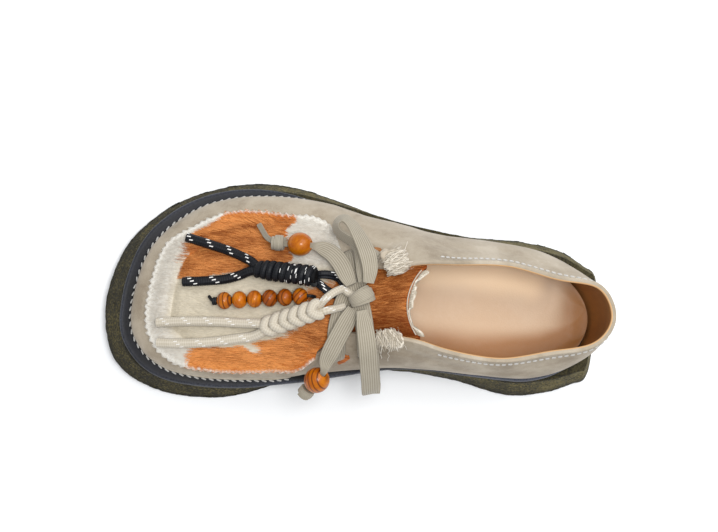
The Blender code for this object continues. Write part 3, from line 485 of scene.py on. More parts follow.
def tread_z(x: Array) -> Array:
    """The underside of the sole: flat at forefoot and heel, lifted at the toe and the arch.

    Args:
        x: Places along the foot.

    Returns:
        Heights above the floor.
    """
    middle = (ARCH_START_X + ARCH_END_X) / 2
    arch = smooth_step(x, ARCH_START_X, middle) * (1 - smooth_step(x, middle, ARCH_END_X))
    return toe_lift(x) + ARCH_RISE * arch


def outsole_top_z(x: Array) -> Array:
    """The top of the outsole at x."""
    wedge = (HEEL_TOP - FOREFOOT_TOP) * smooth_step(x, WEDGE_START_X, WEDGE_END_X)
    return FOREFOOT_TOP + wedge + toe_lift(x)


def midsole_top_z(x: Array) -> Array:
    """The top of the midsole at x."""
    return outsole_top_z(x) + GAP + MIDSOLE_THICK


def edge_size(x: Array, column: str) -> Array:
    """A column of the sole's edge table at x."""
    keys = [row.x for row in EDGE_ROWS]
    return spline(keys, [getattr(row, column) for row in EDGE_ROWS], np.clip(x, keys[0], keys[-1]))


class Last:
    """The form of the foot and the sole, which every panel follows."""

    def __init__(self) -> None:
        """Sets out the ribs and the outward directions in the order of their angles."""
        lateral = [(float(loop_angle(rib.along)), rib) for rib in (TOE_RIB, *LATERAL_RIBS, HEEL_RIB)]
        medial = [(-float(loop_angle(rib.along)), rib) for rib in reversed(MEDIAL_RIBS)]
        self.rib_keys = [angle for angle, _ in medial + lateral]
        self.ribs = [rib for _, rib in medial + lateral]
        rows = [(float(loop_angle((row.x + SOLE_LENGTH / 2) / SOLE_LENGTH)), row) for row in SOLE_ROWS]
        self.sole_keys = [-a for a, _ in rows[-2:0:-1]] + [a for a, _ in rows]
        self.sole_y = [row.medial for _, row in rows[-2:0:-1]] + [row.lateral for _, row in rows]
        self.normal_keys = np.sort(loop_angles(np.linspace(0.0, 1.0, SOLID_STATIONS + 1)))
        self.foot_normals = self.plan_normals(self.foot_outline, self.normal_keys)

    @staticmethod
    def plan_normals(outline: Callable[[Array], Array], angles: Array) -> Array:
        """Outward directions in plan of an outline at some angles.

        Args:
            outline: What gives the outline's points at angles.
            angles: Angles round the outline.

        Returns:
            One direction in plan for each angle.
        """
        step = 1.0 / SOLID_STATIONS
        along = (outline(angles + step) - outline(angles - step))[:, :2]
        return unit(np.stack([-along[:, 1], along[:, 0]], axis=1))

    def ribs_at(self, angles: Array) -> Rib:
        """The last's sections at some angles, each size as a row of numbers."""
        return Rib(*spline(self.rib_keys, self.ribs, angles, period=2.0).T)

    def floor_outline(self, angles: Array) -> Array:
        """The outsole's outline where it meets the floor.

        Args:
            angles: Angles round the outline.

        Returns:
            One point for each angle.
        """
        y = spline(self.sole_keys, self.sole_y, angles, period=2.0)
        x = -SOLE_LENGTH / 2 + SOLE_LENGTH * loop_along(angles)
        return np.stack([x, y, np.zeros_like(x)], axis=1)

    def foot_outline(self, angles: Array) -> Array:
        """The featherline, where the upper meets the midsole.

        Args:
            angles: Angles round the outline.

        Returns:
            One point for each angle.
        """
        x = FOOT_TOE_X + FOOT_LENGTH * loop_along(angles)
        return np.stack([x, self.ribs_at(angles).foot, midsole_top_z(x) + GAP], axis=1)

    def moved_foot(self, angles: Array, distance: Array | float) -> Array:
        """The featherline moved out in plan.

        Args:
            angles: Angles round the outline.
            distance: How far out, for all or for each angle.

        Returns:
            One point for each angle.
        """
        points = self.foot_outline(angles)
        points[:, :2] += self.plan_normals(self.foot_outline, angles) * np.reshape(distance, (-1, 1))
        return points

    def wall_controls(self, angles: Array) -> tuple[Array, Array, Array, Array]:
        """The four control points of the upper's wall at each angle, from featherline to top edge.

        Args:
            angles: Angles round the outline.

        Returns:
            The points of the featherline, the belly, the shoulder and the top edge.
        """
        ribs = self.ribs_at(angles)
        foot = self.foot_outline(angles)
        out = spline(self.normal_keys, self.foot_normals, angles, period=2.0)
        out = np.concatenate([out, np.zeros((len(angles), 1))], axis=1)
        top_x = TOP_TOE_X + (TOP_HEEL_X - TOP_TOE_X) * loop_along(angles)
        top = np.stack([top_x, ribs.top_y, ribs.top_z], axis=1)
        belly = moved(foot, (out, ribs.belly_out), (UP, ribs.belly_up))
        shoulder = moved(top, (out, ribs.shoulder_out), (UP, -ribs.shoulder_down))
        return foot, belly, shoulder, top

    def wall_point(self, angles: Array, v: Array | float) -> Array:
        """Points of the upper's outer face; v is 0 at the featherline and 1 at the top edge."""
        return bezier(self.wall_controls(angles), v)

    def wall_normal(self, angles: Array, v: Array | float) -> Array:
        """Outward normals of the upper's outer face.

        Args:
            angles: Angles round the outline.
            v: How far up the wall, from 0 at the featherline to 1 at the top edge.

        Returns:
            One direction for each angle.
        """
        step = 0.002
        around = self.wall_point(angles + step, v) - self.wall_point(angles - step, v)
        rise = self.wall_point(angles, v + step) - self.wall_point(angles, v - step)
        return unit(np.cross(rise, around))

    def hide_edge(self, angles: Array, v: Array | float) -> tuple[Array, Array]:
        """Points of the hide beside the wall, and the wall's inward directions there.

        Args:
            angles: Angles round the outline.
            v: How far up the wall, from 0 at the featherline to 1 at the top edge.

        Returns:
            The points, and the directions.
        """
        under = -(UPPER_WALL + HIDE_THICK + 2 * GAP)
        offset = GAP + (under - GAP) * smooth_step(loop_along(angles), DIP_START, DIP)
        points = self.wall_point(angles, v) + self.wall_normal(angles, v) * offset[:, None]
        _, _, shoulder, top = self.wall_controls(angles)
        return points, unit(top - shoulder)

    def hide_point(self, along: Array, side: Array) -> Array:
        """Points of the hide's underside; side is 1 on the lateral top edge and -1 on the medial one.

        Args:
            along: Shares of the foot's length.
            side: Shares of the way across, from 1 to -1.

        Returns:
            One point for each place.
        """
        angle = loop_angle(np.clip(along, 0.0, 1.0))
        lateral, lateral_in = self.hide_edge(angle, 1.0)
        medial, medial_in = self.hide_edge(-angle, 1.0)
        reach = DOME * np.linalg.norm(lateral - medial, axis=1, keepdims=True)
        controls = (lateral, lateral + lateral_in * reach, medial + medial_in * reach, medial)
        return bezier(controls, (1.0 - side) / 2.0)


class Ground:
    """The solids that cords and beads lie on."""

    RING_SHARES = (0.35, 0.65, 0.9)
    RING_SPOTS = 12
    LINE_SPOTS = 9

    def __init__(self, *nodes: str) -> None:
        """Sorts the faces of some solids for searching."""
        self.trees = [self.tree_of(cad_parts[node]) for node in nodes]

    @staticmethod
    def tree_of(obj: Piece) -> BVHTree:
        """A search tree of an object's faces, in metres."""
        corners = [vertex.co for vertex in obj.data.vertices]
        return BVHTree.FromPolygons(corners, [tuple(face.vertices) for face in obj.data.polygons])

    def z(self, x: float, y: float) -> float:
        """The highest face under a place, or the floor.

        Args:
            x: Where along the foot.
            y: Where across the foot.

        Returns:
            Its height.
        """
        start = Vector((x, y, SOLE_LENGTH)) * MM
        hits = [tree.ray_cast(start, DOWN)[0] for tree in self.trees]
        return max((hit.z / MM for hit in hits if hit), default=0.0)

    def rest_z(self, x: float, y: float, radius: float) -> float:
        """How high the axis of a round piece lies when it rests at a place.

        Args:
            x: Where along the foot.
            y: Where across the foot.
            radius: Half the piece's thickness.

        Returns:
            The axis's height.
        """
        needed = self.z(x, y) + radius
        for share in self.RING_SHARES:
            rise = radius * math.sqrt(1.0 - share**2)
            for turn in full_turn(self.RING_SPOTS):
                reach = share * radius
                under = self.z(x + reach * math.cos(turn), y + reach * math.sin(turn))
                needed = max(needed, under + rise)
        return needed + GAP

    def line(self, ends: Sequence[Lay], radius: float) -> tuple[Array, Array]:
        """The ends of a straight round piece laid on what is under it.

        Args:
            ends: Where the piece ends, in plan.
            radius: Half the piece's thickness.

        Returns:
            The first end and the last one.
        """
        first, last = np.array([(end.x, end.y) for end in ends])
        shares = np.linspace(0.0, 1.0, self.LINE_SPOTS)
        spots = first + (last - first) * shares[:, None]
        needed = np.array([self.rest_z(x, y, radius) for x, y in spots])
        line = needed[0] + (needed[-1] - needed[0]) * shares
        raised = line + max(0.0, (needed - line).max())
        return (np.array([*first, raised[0] + ends[0].lift]), np.array([*last, raised[-1] + ends[1].lift]))

    def route(self, rows: Sequence[Lay], radius: float) -> Array:
        """The axis of a cord laid on what is under it."""
        return np.array([(row.x, row.y, self.rest_z(row.x, row.y, radius) + row.lift) for row in rows])


def centre_of(node: str) -> Array:
    """The middle of a solid's box, in millimetres."""
    low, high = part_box(node)
    return (np.array(low) + np.array(high)) / 2 / MM


@dataclass
class Skin:
    """A mesh in the making: points in millimetres, faces, and marks that the points carry."""

    points: list[Array] = field(default_factory=list)
    faces: list[Array] = field(default_factory=list)
    slots: list[Array] = field(default_factory=list)
    marks: dict[str, list[tuple[int, Array]]] = field(default_factory=dict)
    size: int = 0

    def add_points(self, points: Array, **marks: Array | float) -> Array:
        """Adds points.

        Args:
            points: Their places.
            marks: Numbers or colours that they carry, one for each point or one for all.

        Returns:
            The points' numbers, shaped as they came.
        """
        shape = np.shape(points)[:-1]
        count = int(np.prod(shape))
        for name, values in marks.items():
            values = np.asarray(values, float)
            is_vector = values.ndim == len(shape) + 1 or values.shape == (3,)
            full = np.broadcast_to(values, (*shape, 3) if is_vector else shape)
            self.marks.setdefault(name, []).append((self.size, full.reshape((count, -1))))
        self.points.append(np.reshape(points, (-1, 3)))
        self.size += count
        return np.arange(self.size - count, self.size).reshape(shape)

    def add_faces(self, faces: Array, slot: int = 0) -> None:
        """Adds faces as rows of point numbers."""
        self.faces.append(np.asarray(faces))
        self.slots.append(np.full(len(faces), slot))

    def weave(
        self, ids: Array, slot: int = 0, close_rows: bool = False, close_columns: bool = False
    ) -> None:
        """Adds the quads between rows of points that are already there.

        Args:
            ids: The points' numbers, in rows.
            slot: The place of the faces' material.
            close_rows: Whether the last row joins the first.
            close_columns: Whether the last column joins the first.
        """
        if close_columns:
            ids = np.concatenate([ids, ids[:, :1]], axis=1)
        if close_rows:
            ids = np.concatenate([ids, ids[:1]], axis=0)
        near, far = ids[:-1], ids[1:]
        quads = np.stack([near[:, :-1], near[:, 1:], far[:, 1:], far[:, :-1]], axis=-1)
        self.add_faces(quads.reshape(-1, 4), slot)

    def grid(
        self,
        rows: Array,
        slot: int = 0,
        close_rows: bool = False,
        close_columns: bool = False,
        **marks: Array | float,
    ) -> Array:
        """Adds rows of points with quads between them.

        Args:
            rows: The points, in rows.
            slot: The place of the faces' material.
            close_rows: Whether the last row joins the first.
            close_columns: Whether the last column joins the first.
            marks: Numbers or colours that the points carry.

        Returns:
            The points' numbers.
        """
        ids = self.add_points(rows, **marks)
        self.weave(ids, slot, close_rows, close_columns)
        return ids

    def fan(self, ring: Array, tip: Array, slot: int = 0, **marks: Array | float) -> None:
        """Closes a ring of points with triangles to a tip.

        Args:
            ring: The numbers of the ring's points.
            tip: Where the triangles meet.
            slot: The place of the faces' material.
            marks: Numbers or colours that the tip carries.
        """
        top = self.add_points(np.reshape(tip, (1, 3)), **marks)[0]
        ahead = np.roll(ring, -1)
        self.add_faces(np.stack([ring, ahead, np.full(len(ring), top)], axis=1), slot)

    def close_ends(self, ids: Array, tips: Sequence[Array], slot: int = 0, **marks: Array | float) -> None:
        """Closes the first and the last ring of a grid, each with triangles to its tip."""
        for ring, tip in zip((ids[0], ids[-1]), tips):
            self.fan(ring, tip, slot, **marks)

    def cap(self, ring: Array) -> None:
        """Closes an outline of loop_angles() with strips from side to side.

        Args:
            ring: The numbers of the ring's points.
        """
        half = len(ring) // 2
        self.add_faces(np.array([[ring[0], ring[1], ring[-1]]]))
        i = np.arange(1, half - 1)
        self.add_faces(np.stack([ring[i], ring[i + 1], ring[-i - 1], ring[-i]], axis=1))
        self.add_faces(np.array([[ring[half - 1], ring[half], ring[half + 1]]]))

    def make(self, name: str, finishes: Sequence[Material], weld: float = 0.0005) -> Piece:
        """Makes the object.

        Args:
            name: Its name.
            finishes: Its materials, in the order of the faces' slots.
            weld: How near points are made one, in millimetres.

        Returns:
            The new object.
        """
        mesh = bpy.data.meshes.new(name)
        faces = [face for block in self.faces for face in block.tolist()]
        mesh.from_pydata((np.concatenate(self.points) * MM).tolist(), [], faces)
        mesh.polygons.foreach_set("material_index", np.concatenate(self.slots))
        for mark, blocks in self.marks.items():
            values = np.zeros((self.size, blocks[0][1].shape[1]), np.float32)
            for first, block in blocks:
                values[first : first + len(block)] = block
            is_vector = values.shape[1] == 3
            layer = mesh.attributes.new(mark, "FLOAT_VECTOR" if is_vector else "FLOAT", "POINT")
            layer.data.foreach_set("vector" if is_vector else "value", values.ravel())
        bm = bmesh.new()
        bm.from_mesh(mesh)
        bmesh.ops.remove_doubles(bm, verts=bm.verts, dist=weld * MM)
        bmesh.ops.recalc_face_normals(bm, faces=bm.faces)
        bm.to_mesh(mesh)
        bm.free()
        mesh.shade_smooth()
        mesh.set_sharp_from_angle(angle=SHARP)
        for finish in finishes:
            mesh.materials.append(finish)
        obj = bpy.data.objects.new(name, mesh)
        bpy.context.scene.collection.objects.link(obj)
        return obj


def applied(obj: Piece) -> Piece:
    """Turns an object's modifiers into its mesh.

    Args:
        obj: The object that has them.

    Returns:
        The same object.
    """
    bpy.context.view_layer.update()
    shown = obj.evaluated_get(bpy.context.evaluated_depsgraph_get())
    mesh = bpy.data.meshes.new_from_object(shown)
    obj.modifiers.clear()
    old = obj.data
    obj.data = mesh
    bpy.data.meshes.remove(old)
    mesh.name = obj.name
    return obj


def settle(obj: Piece, slot: Slot, *nodes: str) -> Piece:
    """Makes a piece ride on the shoe and hides the solids that it stands for.

    Args:
        obj: The piece.
        slot: Not used.
        nodes: The solids, if it stands for any.

    Returns:
        The same piece.
    """
    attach(obj, BODY)
    if nodes:
        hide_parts(*nodes)
    return obj


class Run:
    """A line through space with directions square to it that do not twist."""

    STEEP = 0.2
    END_BULGE = 0.25

    def __init__(self, path: Array) -> None:
        """Works out the directions at each point of the path.

        Args:
            path: The points of its line.
        """
        self.path = np.asarray(path, float)
        self.along = unit(np.gradient(self.path, axis=0))
        self.lengths = run_lengths(self.path)
        side = np.cross(self.along[0], UP)
        sides = [unit(side if np.linalg.norm(side) > self.STEEP else np.array([0.0, 1.0, 0.0]))]
        for direction in self.along[1:]:
            sides.append(unit(sides[-1] - direction * (sides[-1] @ direction)))
        self.side = np.array(sides)
        self.rise = np.cross(self.side, self.along)

    @property
    def length(self) -> float:
        """The line's whole length."""
        return float(self.lengths[-1])

    def spot(self, distance: Array, turn: Array, radius: Array | float) -> Array:
        """Points at distances along the line, turned round it and away from it.

        Args:
            distance: Distances along the line.
            turn: Angles round it.
            radius: Distances away from it.

        Returns:
            One point for each distance.
        """
        line = (self.side, self.rise, self.path)
        side, rise, middle = (along_line(distance, self.lengths, values) for values in line)
        out = side * np.cos(turn)[..., None] + rise * np.sin(turn)[..., None]
        return middle + out * np.asarray(radius)[..., None]

    def tube(self, skin: Skin, radius: Array, **marks: Array | float) -> None:
        """Adds a round skin with capped ends.

        Args:
            skin: The mesh that it joins.
            radius: The skin's radius round each point of the line, one row for each.
            marks: Numbers or colours that the points carry.
        """
        turns = full_turn(radius.shape[1])
        ring = self.side[:, None] * np.cos(turns)[:, None] + self.rise[:, None] * np.sin(turns)[:, None]
        rows = self.path[:, None] + ring * radius[:, :, None]
        ids = skin.grid(rows, close_columns=True, **marks)
        bulge = self.END_BULGE * np.array([[-1.0], [1.0]]) * radius[[0, -1]].mean(axis=1, keepdims=True)
        skin.close_ends(ids, self.path[[0, -1]] + self.along[[0, -1]] * bulge)


def add_capsules(skin: Skin, starts: Array, ends: Array, radius: float) -> None:
    """Adds short round-ended threads, one for each start and end.

    Args:
        skin: The mesh that they join.
        starts: Where each begins.
        ends: Where each ends.
        radius: Half their thickness.
    """
    sides = 8
    shares = np.array([0.0, 0.06, 0.2, 0.5, 0.8, 0.94, 1.0])
    swell = np.array([0.25, 0.72, 0.97, 1.0, 0.97, 0.72, 0.25]) * radius
    for start, end in zip(starts, ends):
        path = start + (end - start) * shares[:, None]
        Run(path).tube(skin, np.repeat(swell[:, None], sides, axis=1))


def declare_cord(
    path: Array,
    diameter: float,
    exit_row: int = 0,
) -> None:
    """Works out a cord's exit point, thickness and path in metres, and keeps none of them.

    Args:
        path: The points of its axis.
        diameter: Its thickness, or the width of a flat lace.
        exit_row: Which point of the path leaves the shoe.
    """
    tuple(path[exit_row] * MM)
    diameter * MM
    (path * MM).tolist()


def light_of(value: int) -> float:
    """The linear light of a screen value."""
    share = value / 255
    return share / 12.92 if share <= 0.04045 else ((share + 0.055) / 1.055) ** 2.4


def tint(red: int, green: int, blue: int) -> Colour:
    """A colour named by its screen values, as linear light."""
    return light_of(red), light_of(green), light_of(blue)


class Sock:
    """A shader socket that takes part in Python arithmetic."""

    def __init__(self, sheet: "NodeSheet", socket: bpy.types.NodeSocket) -> None:
        """Wraps an output of a node on a sheet."""
        self.sheet = sheet
        self.socket = socket

    def math(self, operation: str, first: "Sock | float", second: "Sock | float") -> "Sock":
        """Adds one Math node."""
        return self.sheet.add("ShaderNodeMath", {"operation": operation}, {0: first, 1: second})

    def __add__(self, other: "Sock | float") -> "Sock":
        """This value plus another."""
        return self.math("ADD", self, other)

    __radd__ = __add__

    def __sub__(self, other: "Sock | float") -> "Sock":
        """This value less another."""
        return self.math("SUBTRACT", self, other)

    def __rsub__(self, other: float) -> "Sock":
        """A number less this value."""
        return self.math("SUBTRACT", other, self)

    def __mul__(self, other: "Sock | float") -> "Sock":
        """This value times another."""
        return self.math("MULTIPLY", self, other)

    __rmul__ = __mul__

    def step(self, low: float, high: float) -> "Sock":
        """A soft ramp from 0 at low to 1 at high."""
        settings = {"interpolation_type": "SMOOTHSTEP"}
        return self.sheet.add("ShaderNodeMapRange", settings, {0: self, 1: low, 2: high})


class NodeSheet:
    """The node sheet of one material."""

    def __init__(self, name: str) -> None:
        """Starts a material with an empty sheet.

        Args:
            name: The material's name.
        """
        self.material = bpy.data.materials.new(name)
        self.material.use_nodes = True
        self.tree = self.material.node_tree
        self.tree.nodes.clear()

    def add(
        self,
        kind: str,
        settings: dict[str, object] | None = None,
        sockets: dict[int | str, object] | None = None,
        out: int | str = 0,
    ) -> Sock:
        """Adds any node.

        Args:
            kind: The node's type.
            settings: Its own settings, which are set first.
            sockets: Values or links of its inputs.
            out: The output that is wanted.

        Returns:
            That output.
        """
        node = self.tree.nodes.new(kind)
        for key, value in (settings or {}).items():
            setattr(node, key, value)
        for key, value in (sockets or {}).items():
            if isinstance(value, Sock):
                self.tree.links.new(value.socket, node.inputs[key])
            else:
                node.inputs[key].default_value = value
        return Sock(self, node.outputs[out])

    def blend(self, share: Sock, first: Sock | Colour, second: Sock | Colour) -> Sock:
        """A colour between two others.

        Args:
            share: How much of the second there is.
            first: One colour.
            second: The other.

        Returns:
            The colour between them.
        """
        colours = [c if isinstance(c, Sock) else (*c, 1.0) for c in (first, second)]
        sockets = {0: share, 6: colours[0], 7: colours[1]}
        return self.add("ShaderNodeMix", {"data_type": "RGBA"}, sockets, 2)

    def place(self) -> Sock:
        """The place on the object, in metres."""
        return self.add("ShaderNodeTexCoord", out="Object")

    def stretched(self, place: Sock, x: float, y: float, z: float) -> Sock:
        """A place scaled by axis."""
        return self.add("ShaderNodeMapping", None, {"Vector": place, "Scale": (x, y, z)})

    def noise(self, place: Sock, size: float, detail: float = 2.0, warp: float = 0.0) -> Sock:
        """Soft noise whose lumps have a size in metres when the place is in metres."""
        sockets = {"Vector": place, "Scale": 1.0 / size, "Detail": detail, "Distortion": warp}
        return self.add("ShaderNodeTexNoise", None, sockets)

    def cells(self, place: Sock, size: float) -> Sock:
        """Distance to the middle of packed cells."""
        return self.add("ShaderNodeTexVoronoi", None, {"Vector": place, "Scale": 1.0 / size})

    def mark(self, name: str) -> Sock:
        """A number that the mesh's points carry."""
        return self.add("ShaderNodeAttribute", {"attribute_name": name}, None, "Fac")

    def mark_vector(self, name: str) -> Sock:
        """A vector or colour that the mesh's points carry."""
        return self.add("ShaderNodeAttribute", {"attribute_name": name}, None, "Vector")

    def bump(self, height: Sock, depth: float, strength: float) -> Sock:
        """A raised surface; depth is in metres."""
        sockets = {"Height": height, "Distance": depth, "Strength": strength}
        return self.add("ShaderNodeBump", None, sockets)

    def finish(self, base: Sock, rough: Sock | float, normal: Sock | None, **constants: float) -> Material:
        """Ends the sheet with its surface shader.

        Args:
            base: The colour.
            rough: The roughness.
            normal: The raised surface, if it has one.
            constants: Numbers that are the same all over, named as their sockets are, with _ for a space.

        Returns:
            The material.
        """
        sockets: dict[int | str, object] = {"Base Color": base, "Roughness": rough}
        if normal:
            sockets["Normal"] = normal
        sockets.update({name.replace("_", " "): value for name, value in constants.items()})
        surface = self.add("ShaderNodeBsdfPrincipled", None, sockets)
        output = self.tree.nodes.new("ShaderNodeOutputMaterial")
        self.tree.links.new(surface.socket, output.inputs["Surface"])
        return self.material


@dataclass(frozen=True)
class CrepeFinish:
    """Olive crumb rubber, mottled and pitted."""

    painted_shade: Colour = tint(20, 19, 15)
    dark: Colour = tint(40, 37, 24)
    middle: Colour = tint(66, 60, 36)
    light: Colour = tint(108, 98, 59)

    def make(self) -> Material:
        """Mottles the crumbs, paints light on the outer side and the heel, and paints shade on the low edge,
        the top lip and the toe.

        Returns:
            The material.
        """
        sheet = NodeSheet("crepe_olive")
        place = sheet.place()
        crumbs = sheet.noise(place, 0.0012, 4.0)
        patches = sheet.noise(place, 0.012, 3.0, 0.6)
        pits = sheet.cells(place, 0.0013)
        # The mark adds painted light on the outer side and the heel.
        mixed = 0.68 * crumbs + 0.32 * patches + sheet.mark("bleached")
        base = sheet.blend(mixed.step(0.4, 0.54), self.dark, self.middle)
        base = sheet.blend(mixed.step(0.5, 0.66), base, self.light)
        # Painted shade on the low edge, the top lip and the toe.
        base = sheet.blend(sheet.mark("low").step(0.0, 1.0) * 0.7, base, self.painted_shade)
        normal = sheet.bump(0.6 * crumbs + 0.5 * pits, 0.0006, 0.8)
        return sheet.finish(base, 0.72 + 0.25 * pits, normal, Specular_IOR_Level=0.28)


@dataclass(frozen=True)
class RubberFinish:
    """Blue-black moulded rubber, with a painted highlight along its rounded rim and paler on top at the
    inner heel.
    """

    dark: Colour = tint(13, 14, 17)
    middle: Colour = tint(28, 29, 36)
    highlight_grey: Colour = tint(78, 81, 92)

    def make(self) -> Material:
        """Clouds the black and pales it where the mesh is marked: a painted highlight on the rounded rim,
        and paler on top at the inner heel.

        Returns:
            The material.
        """
        sheet = NodeSheet("rubber_black")
        place = sheet.place()
        bloom = sheet.noise(place, 0.016, 4.0, 0.4)
        grain = sheet.noise(place, 0.0009, 3.0)
        base = sheet.blend((0.7 * bloom + 0.3 * grain).step(0.35, 0.68), self.dark, self.middle)
        worn = sheet.mark("rub") * (0.45 + 0.9 * grain).step(0.55, 1.1)
        base = sheet.blend(worn, base, self.highlight_grey)
        normal = sheet.bump(grain, 0.0002, 0.5)
        return sheet.finish(base, 0.42 + 0.2 * bloom, normal, Specular_IOR_Level=0.24)


@dataclass(frozen=True)
class SuedeFinish:
    """Taupe suede with brushed nap."""

    name: str = "suede_taupe"
    dark: Colour = tint(140, 127, 109)
    middle: Colour = tint(170, 158, 140)
    light: Colour = tint(192, 182, 166)

    def make(self) -> Material:
        """Brushes the nap into lighter and darker clouds, and adds the painted light and shade that the mesh
        marks.

        Returns:
            The material.
        """
        sheet = NodeSheet(self.name)
        place = sheet.place()
        clouds = sheet.noise(place, 0.019, 5.0, 0.25)
        brushed = sheet.noise(place, 0.0034, 4.0, 0.6)
        nap = sheet.noise(place, 0.0006, 4.0)
        # The mark adds painted shade at the toe and the inner side and painted light at the heel.
        tone = 0.74 * clouds + 0.2 * brushed + 0.2 * nap + sheet.mark("worn") - 0.08
        base = sheet.blend(tone.step(0.22, 0.52), self.dark, self.middle)
        base = sheet.blend(tone.step(0.46, 0.78), base, self.light)
        normal = sheet.bump(0.75 * nap + 0.25 * brushed, 0.00026, 0.75)
        rough = 0.86 + 0.12 * nap
        sheen = {"Sheen_Weight": 0.12, "Sheen_Roughness": 0.45}
        return sheet.finish(base, rough, normal, Specular_IOR_Level=0.15, **sheen)


@dataclass(frozen=True)
class LeatherFinish:
    """Vegetable-tanned leather, turning to an edge colour towards its edges, with painted light where its
    mark is below zero.
    """

    name: str
    pale: Colour
    middle: Colour
    edge_tan: Colour
    painted_light_tan: Colour
    gloss: float = 0.46

    def make(self) -> Material:
        """Clouds the tan, turns it to the edge colour where the mesh's mark is above zero, and paints light
        where it is below zero.

        Returns:
            The material.
        """
        sheet = NodeSheet(self.name)
        place = sheet.place()
        clouds = sheet.noise(place, 0.028, 3.0, 0.3)
        pores = sheet.cells(place, 0.0009)
        fibre = sheet.noise(place, 0.0022, 4.0)
        burnish = sheet.mark("burnish") + 0.28 * (clouds - 0.5)
        base = sheet.blend((0.7 * clouds + 0.3 * fibre).step(0.35, 0.66), self.middle, self.pale)
        base = sheet.blend(burnish.step(0.1, 1.0), base, self.edge_tan)
        # Painted light where the mark is below zero.
        base = sheet.blend((-1.0 * burnish).step(0.1, 1.0), base, self.painted_light_tan)
        normal = sheet.bump(0.6 * pores + 0.4 * fibre, 0.00012, 0.5)
        return sheet.finish(base, self.gloss + 0.16 * fibre, normal)


@dataclass(frozen=True)
class HideFinish:
    """Hair-on hide: cream with brown patches, brushed along the foot."""

    cream: Colour = tint(206, 196, 175)
    cream_shade: Colour = tint(180, 169, 148)
    brown_dark: Colour = tint(128, 60, 18)
    brown: Colour = tint(184, 102, 40)
    brown_light: Colour = tint(220, 146, 80)
    white: Colour = tint(206, 202, 193)
    white_shade: Colour = tint(180, 174, 163)
    raw: Colour = tint(222, 218, 209)

    def make(self) -> Material:
        """Lays brown over cream with a ragged edge and streaks both along the foot.

        Returns:
            The material.
        """
        sheet = NodeSheet("hide_hair_on")
        place = sheet.place()
        streaks = sheet.noise(sheet.stretched(place, 0.1, 1.0, 1.0), 0.0009, 4.0, 0.2)
        locks = sheet.noise(sheet.stretched(place, 0.16, 1.0, 1.0), 0.0056, 3.0, 0.4)
        ragged = sheet.noise(sheet.stretched(place, 0.45, 1.0, 1.0), 0.0028, 3.0)
        is_brown = (sheet.mark("brown") + 4.0 * (ragged - 0.5)).step(-0.7, 0.7)
        tone = 0.55 * streaks + 0.45 * locks + sheet.mark("tone")
        dark_brown = sheet.blend(tone.step(0.34, 0.52), self.brown_dark, self.brown)
        brown = sheet.blend(tone.step(0.52, 0.7), dark_brown, self.brown_light)
        cream = sheet.blend(tone.step(0.34, 0.6), self.cream_shade, self.cream)
        white = sheet.blend(tone.step(0.34, 0.6), self.white_shade, self.white)
        cream = sheet.blend(sheet.mark("pale"), cream, white)
        base = sheet.blend(is_brown, cream, brown)
        base = sheet.blend(sheet.mark("raw"), base, self.raw)
        normal = sheet.bump(0.7 * streaks + 0.3 * locks, 0.0007, 0.8)
        return sheet.finish(base, 0.5 + 0.3 * streaks, normal, Specular_IOR_Level=0.15)


@dataclass(frozen=True)
class HairFinish:
    """Single hairs that carry their own colour."""

    def make(self) -> Material:
        """Colours each hair as its points say.

        Returns:
            The material.
        """
        sheet = NodeSheet("hair_strands")
        colour = sheet.mark_vector("tint")
        faint = sheet.noise(sheet.place(), 0.004, 2.0)
        return sheet.finish(colour, 0.5 + 0.2 * faint, None, Specular_IOR_Level=0.12)


@dataclass(frozen=True)
class WovenFinish:
    """Cotton yarn, woven or braided, with painted shade between its threads and lighter crowns."""

    name: str
    valley: Colour
    crown: Colour
    rough: float = 0.82
    sheen: float = 0.15

    def make(self) -> Material:
        """Pales the yarn on the crowns that the mesh marks, with painted shade between them.

        Returns:
            The material.
        """
        sheet = NodeSheet(self.name)
        place = sheet.place()
        fuzz = sheet.noise(place, 0.0005, 3.0)
        soil = sheet.noise(place, 0.009, 3.0, 0.4)
        height = sheet.mark("crown") + 0.5 * (fuzz - 0.5) + 0.35 * (soil - 0.5)
        base = sheet.blend(height.step(0.0, 0.9), self.valley, self.crown)
        normal = sheet.bump(fuzz, 0.0002, 0.6)
        rough = self.rough + 0.12 * fuzz
        return sheet.finish(base, rough, normal, Sheen_Weight=self.sheen, Specular_IOR_Level=0.25)


@dataclass(frozen=True)
class WoodFinish:
    """Turned and varnished wood with dark growth lines."""

    gold: Colour = tint(192, 112, 5)
    orange: Colour = tint(160, 78, 2)
    stained: Colour = tint(130, 58, 2)
    dark: Colour = tint(84, 34, 2)

    def make(self) -> Material:
        """Draws growth lines and stain under a coat of varnish.

        Returns:
            The material.
        """
        sheet = NodeSheet("wood_varnished")
        place = sheet.mark_vector("wood")
        settings = {"wave_type": "BANDS", "bands_direction": "X"}
        sockets = {"Vector": place, "Scale": 0.125, "Distortion": 2.6, "Detail": 2.0, "Detail Scale": 0.5}
        rings = sheet.add("ShaderNodeTexWave", settings, sockets, "Fac")
        fibre = sheet.noise(sheet.stretched(place, 1.0, 0.2, 0.2), 0.5, 3.0)
        cloud = sheet.noise(place, 6.0, 2.0)
        base = sheet.blend((0.6 * cloud + 0.4 * fibre).step(0.34, 0.66), self.orange, self.gold)
        base = sheet.blend(sheet.mark("stain"), base, self.stained)
        line = rings * rings * rings * sheet.mark("figure") * (0.55 + 0.6 * fibre)
        base = sheet.blend(line.step(0.1, 1.0), base, self.dark)
        normal = sheet.bump(fibre, 0.00008, 0.4)
        rough = 0.3 + 0.14 * fibre
        varnish = {"Coat_Weight": 0.22, "Coat_Roughness": 0.08}
        return sheet.finish(base, rough, normal, Specular_IOR_Level=0.2, **varnish)


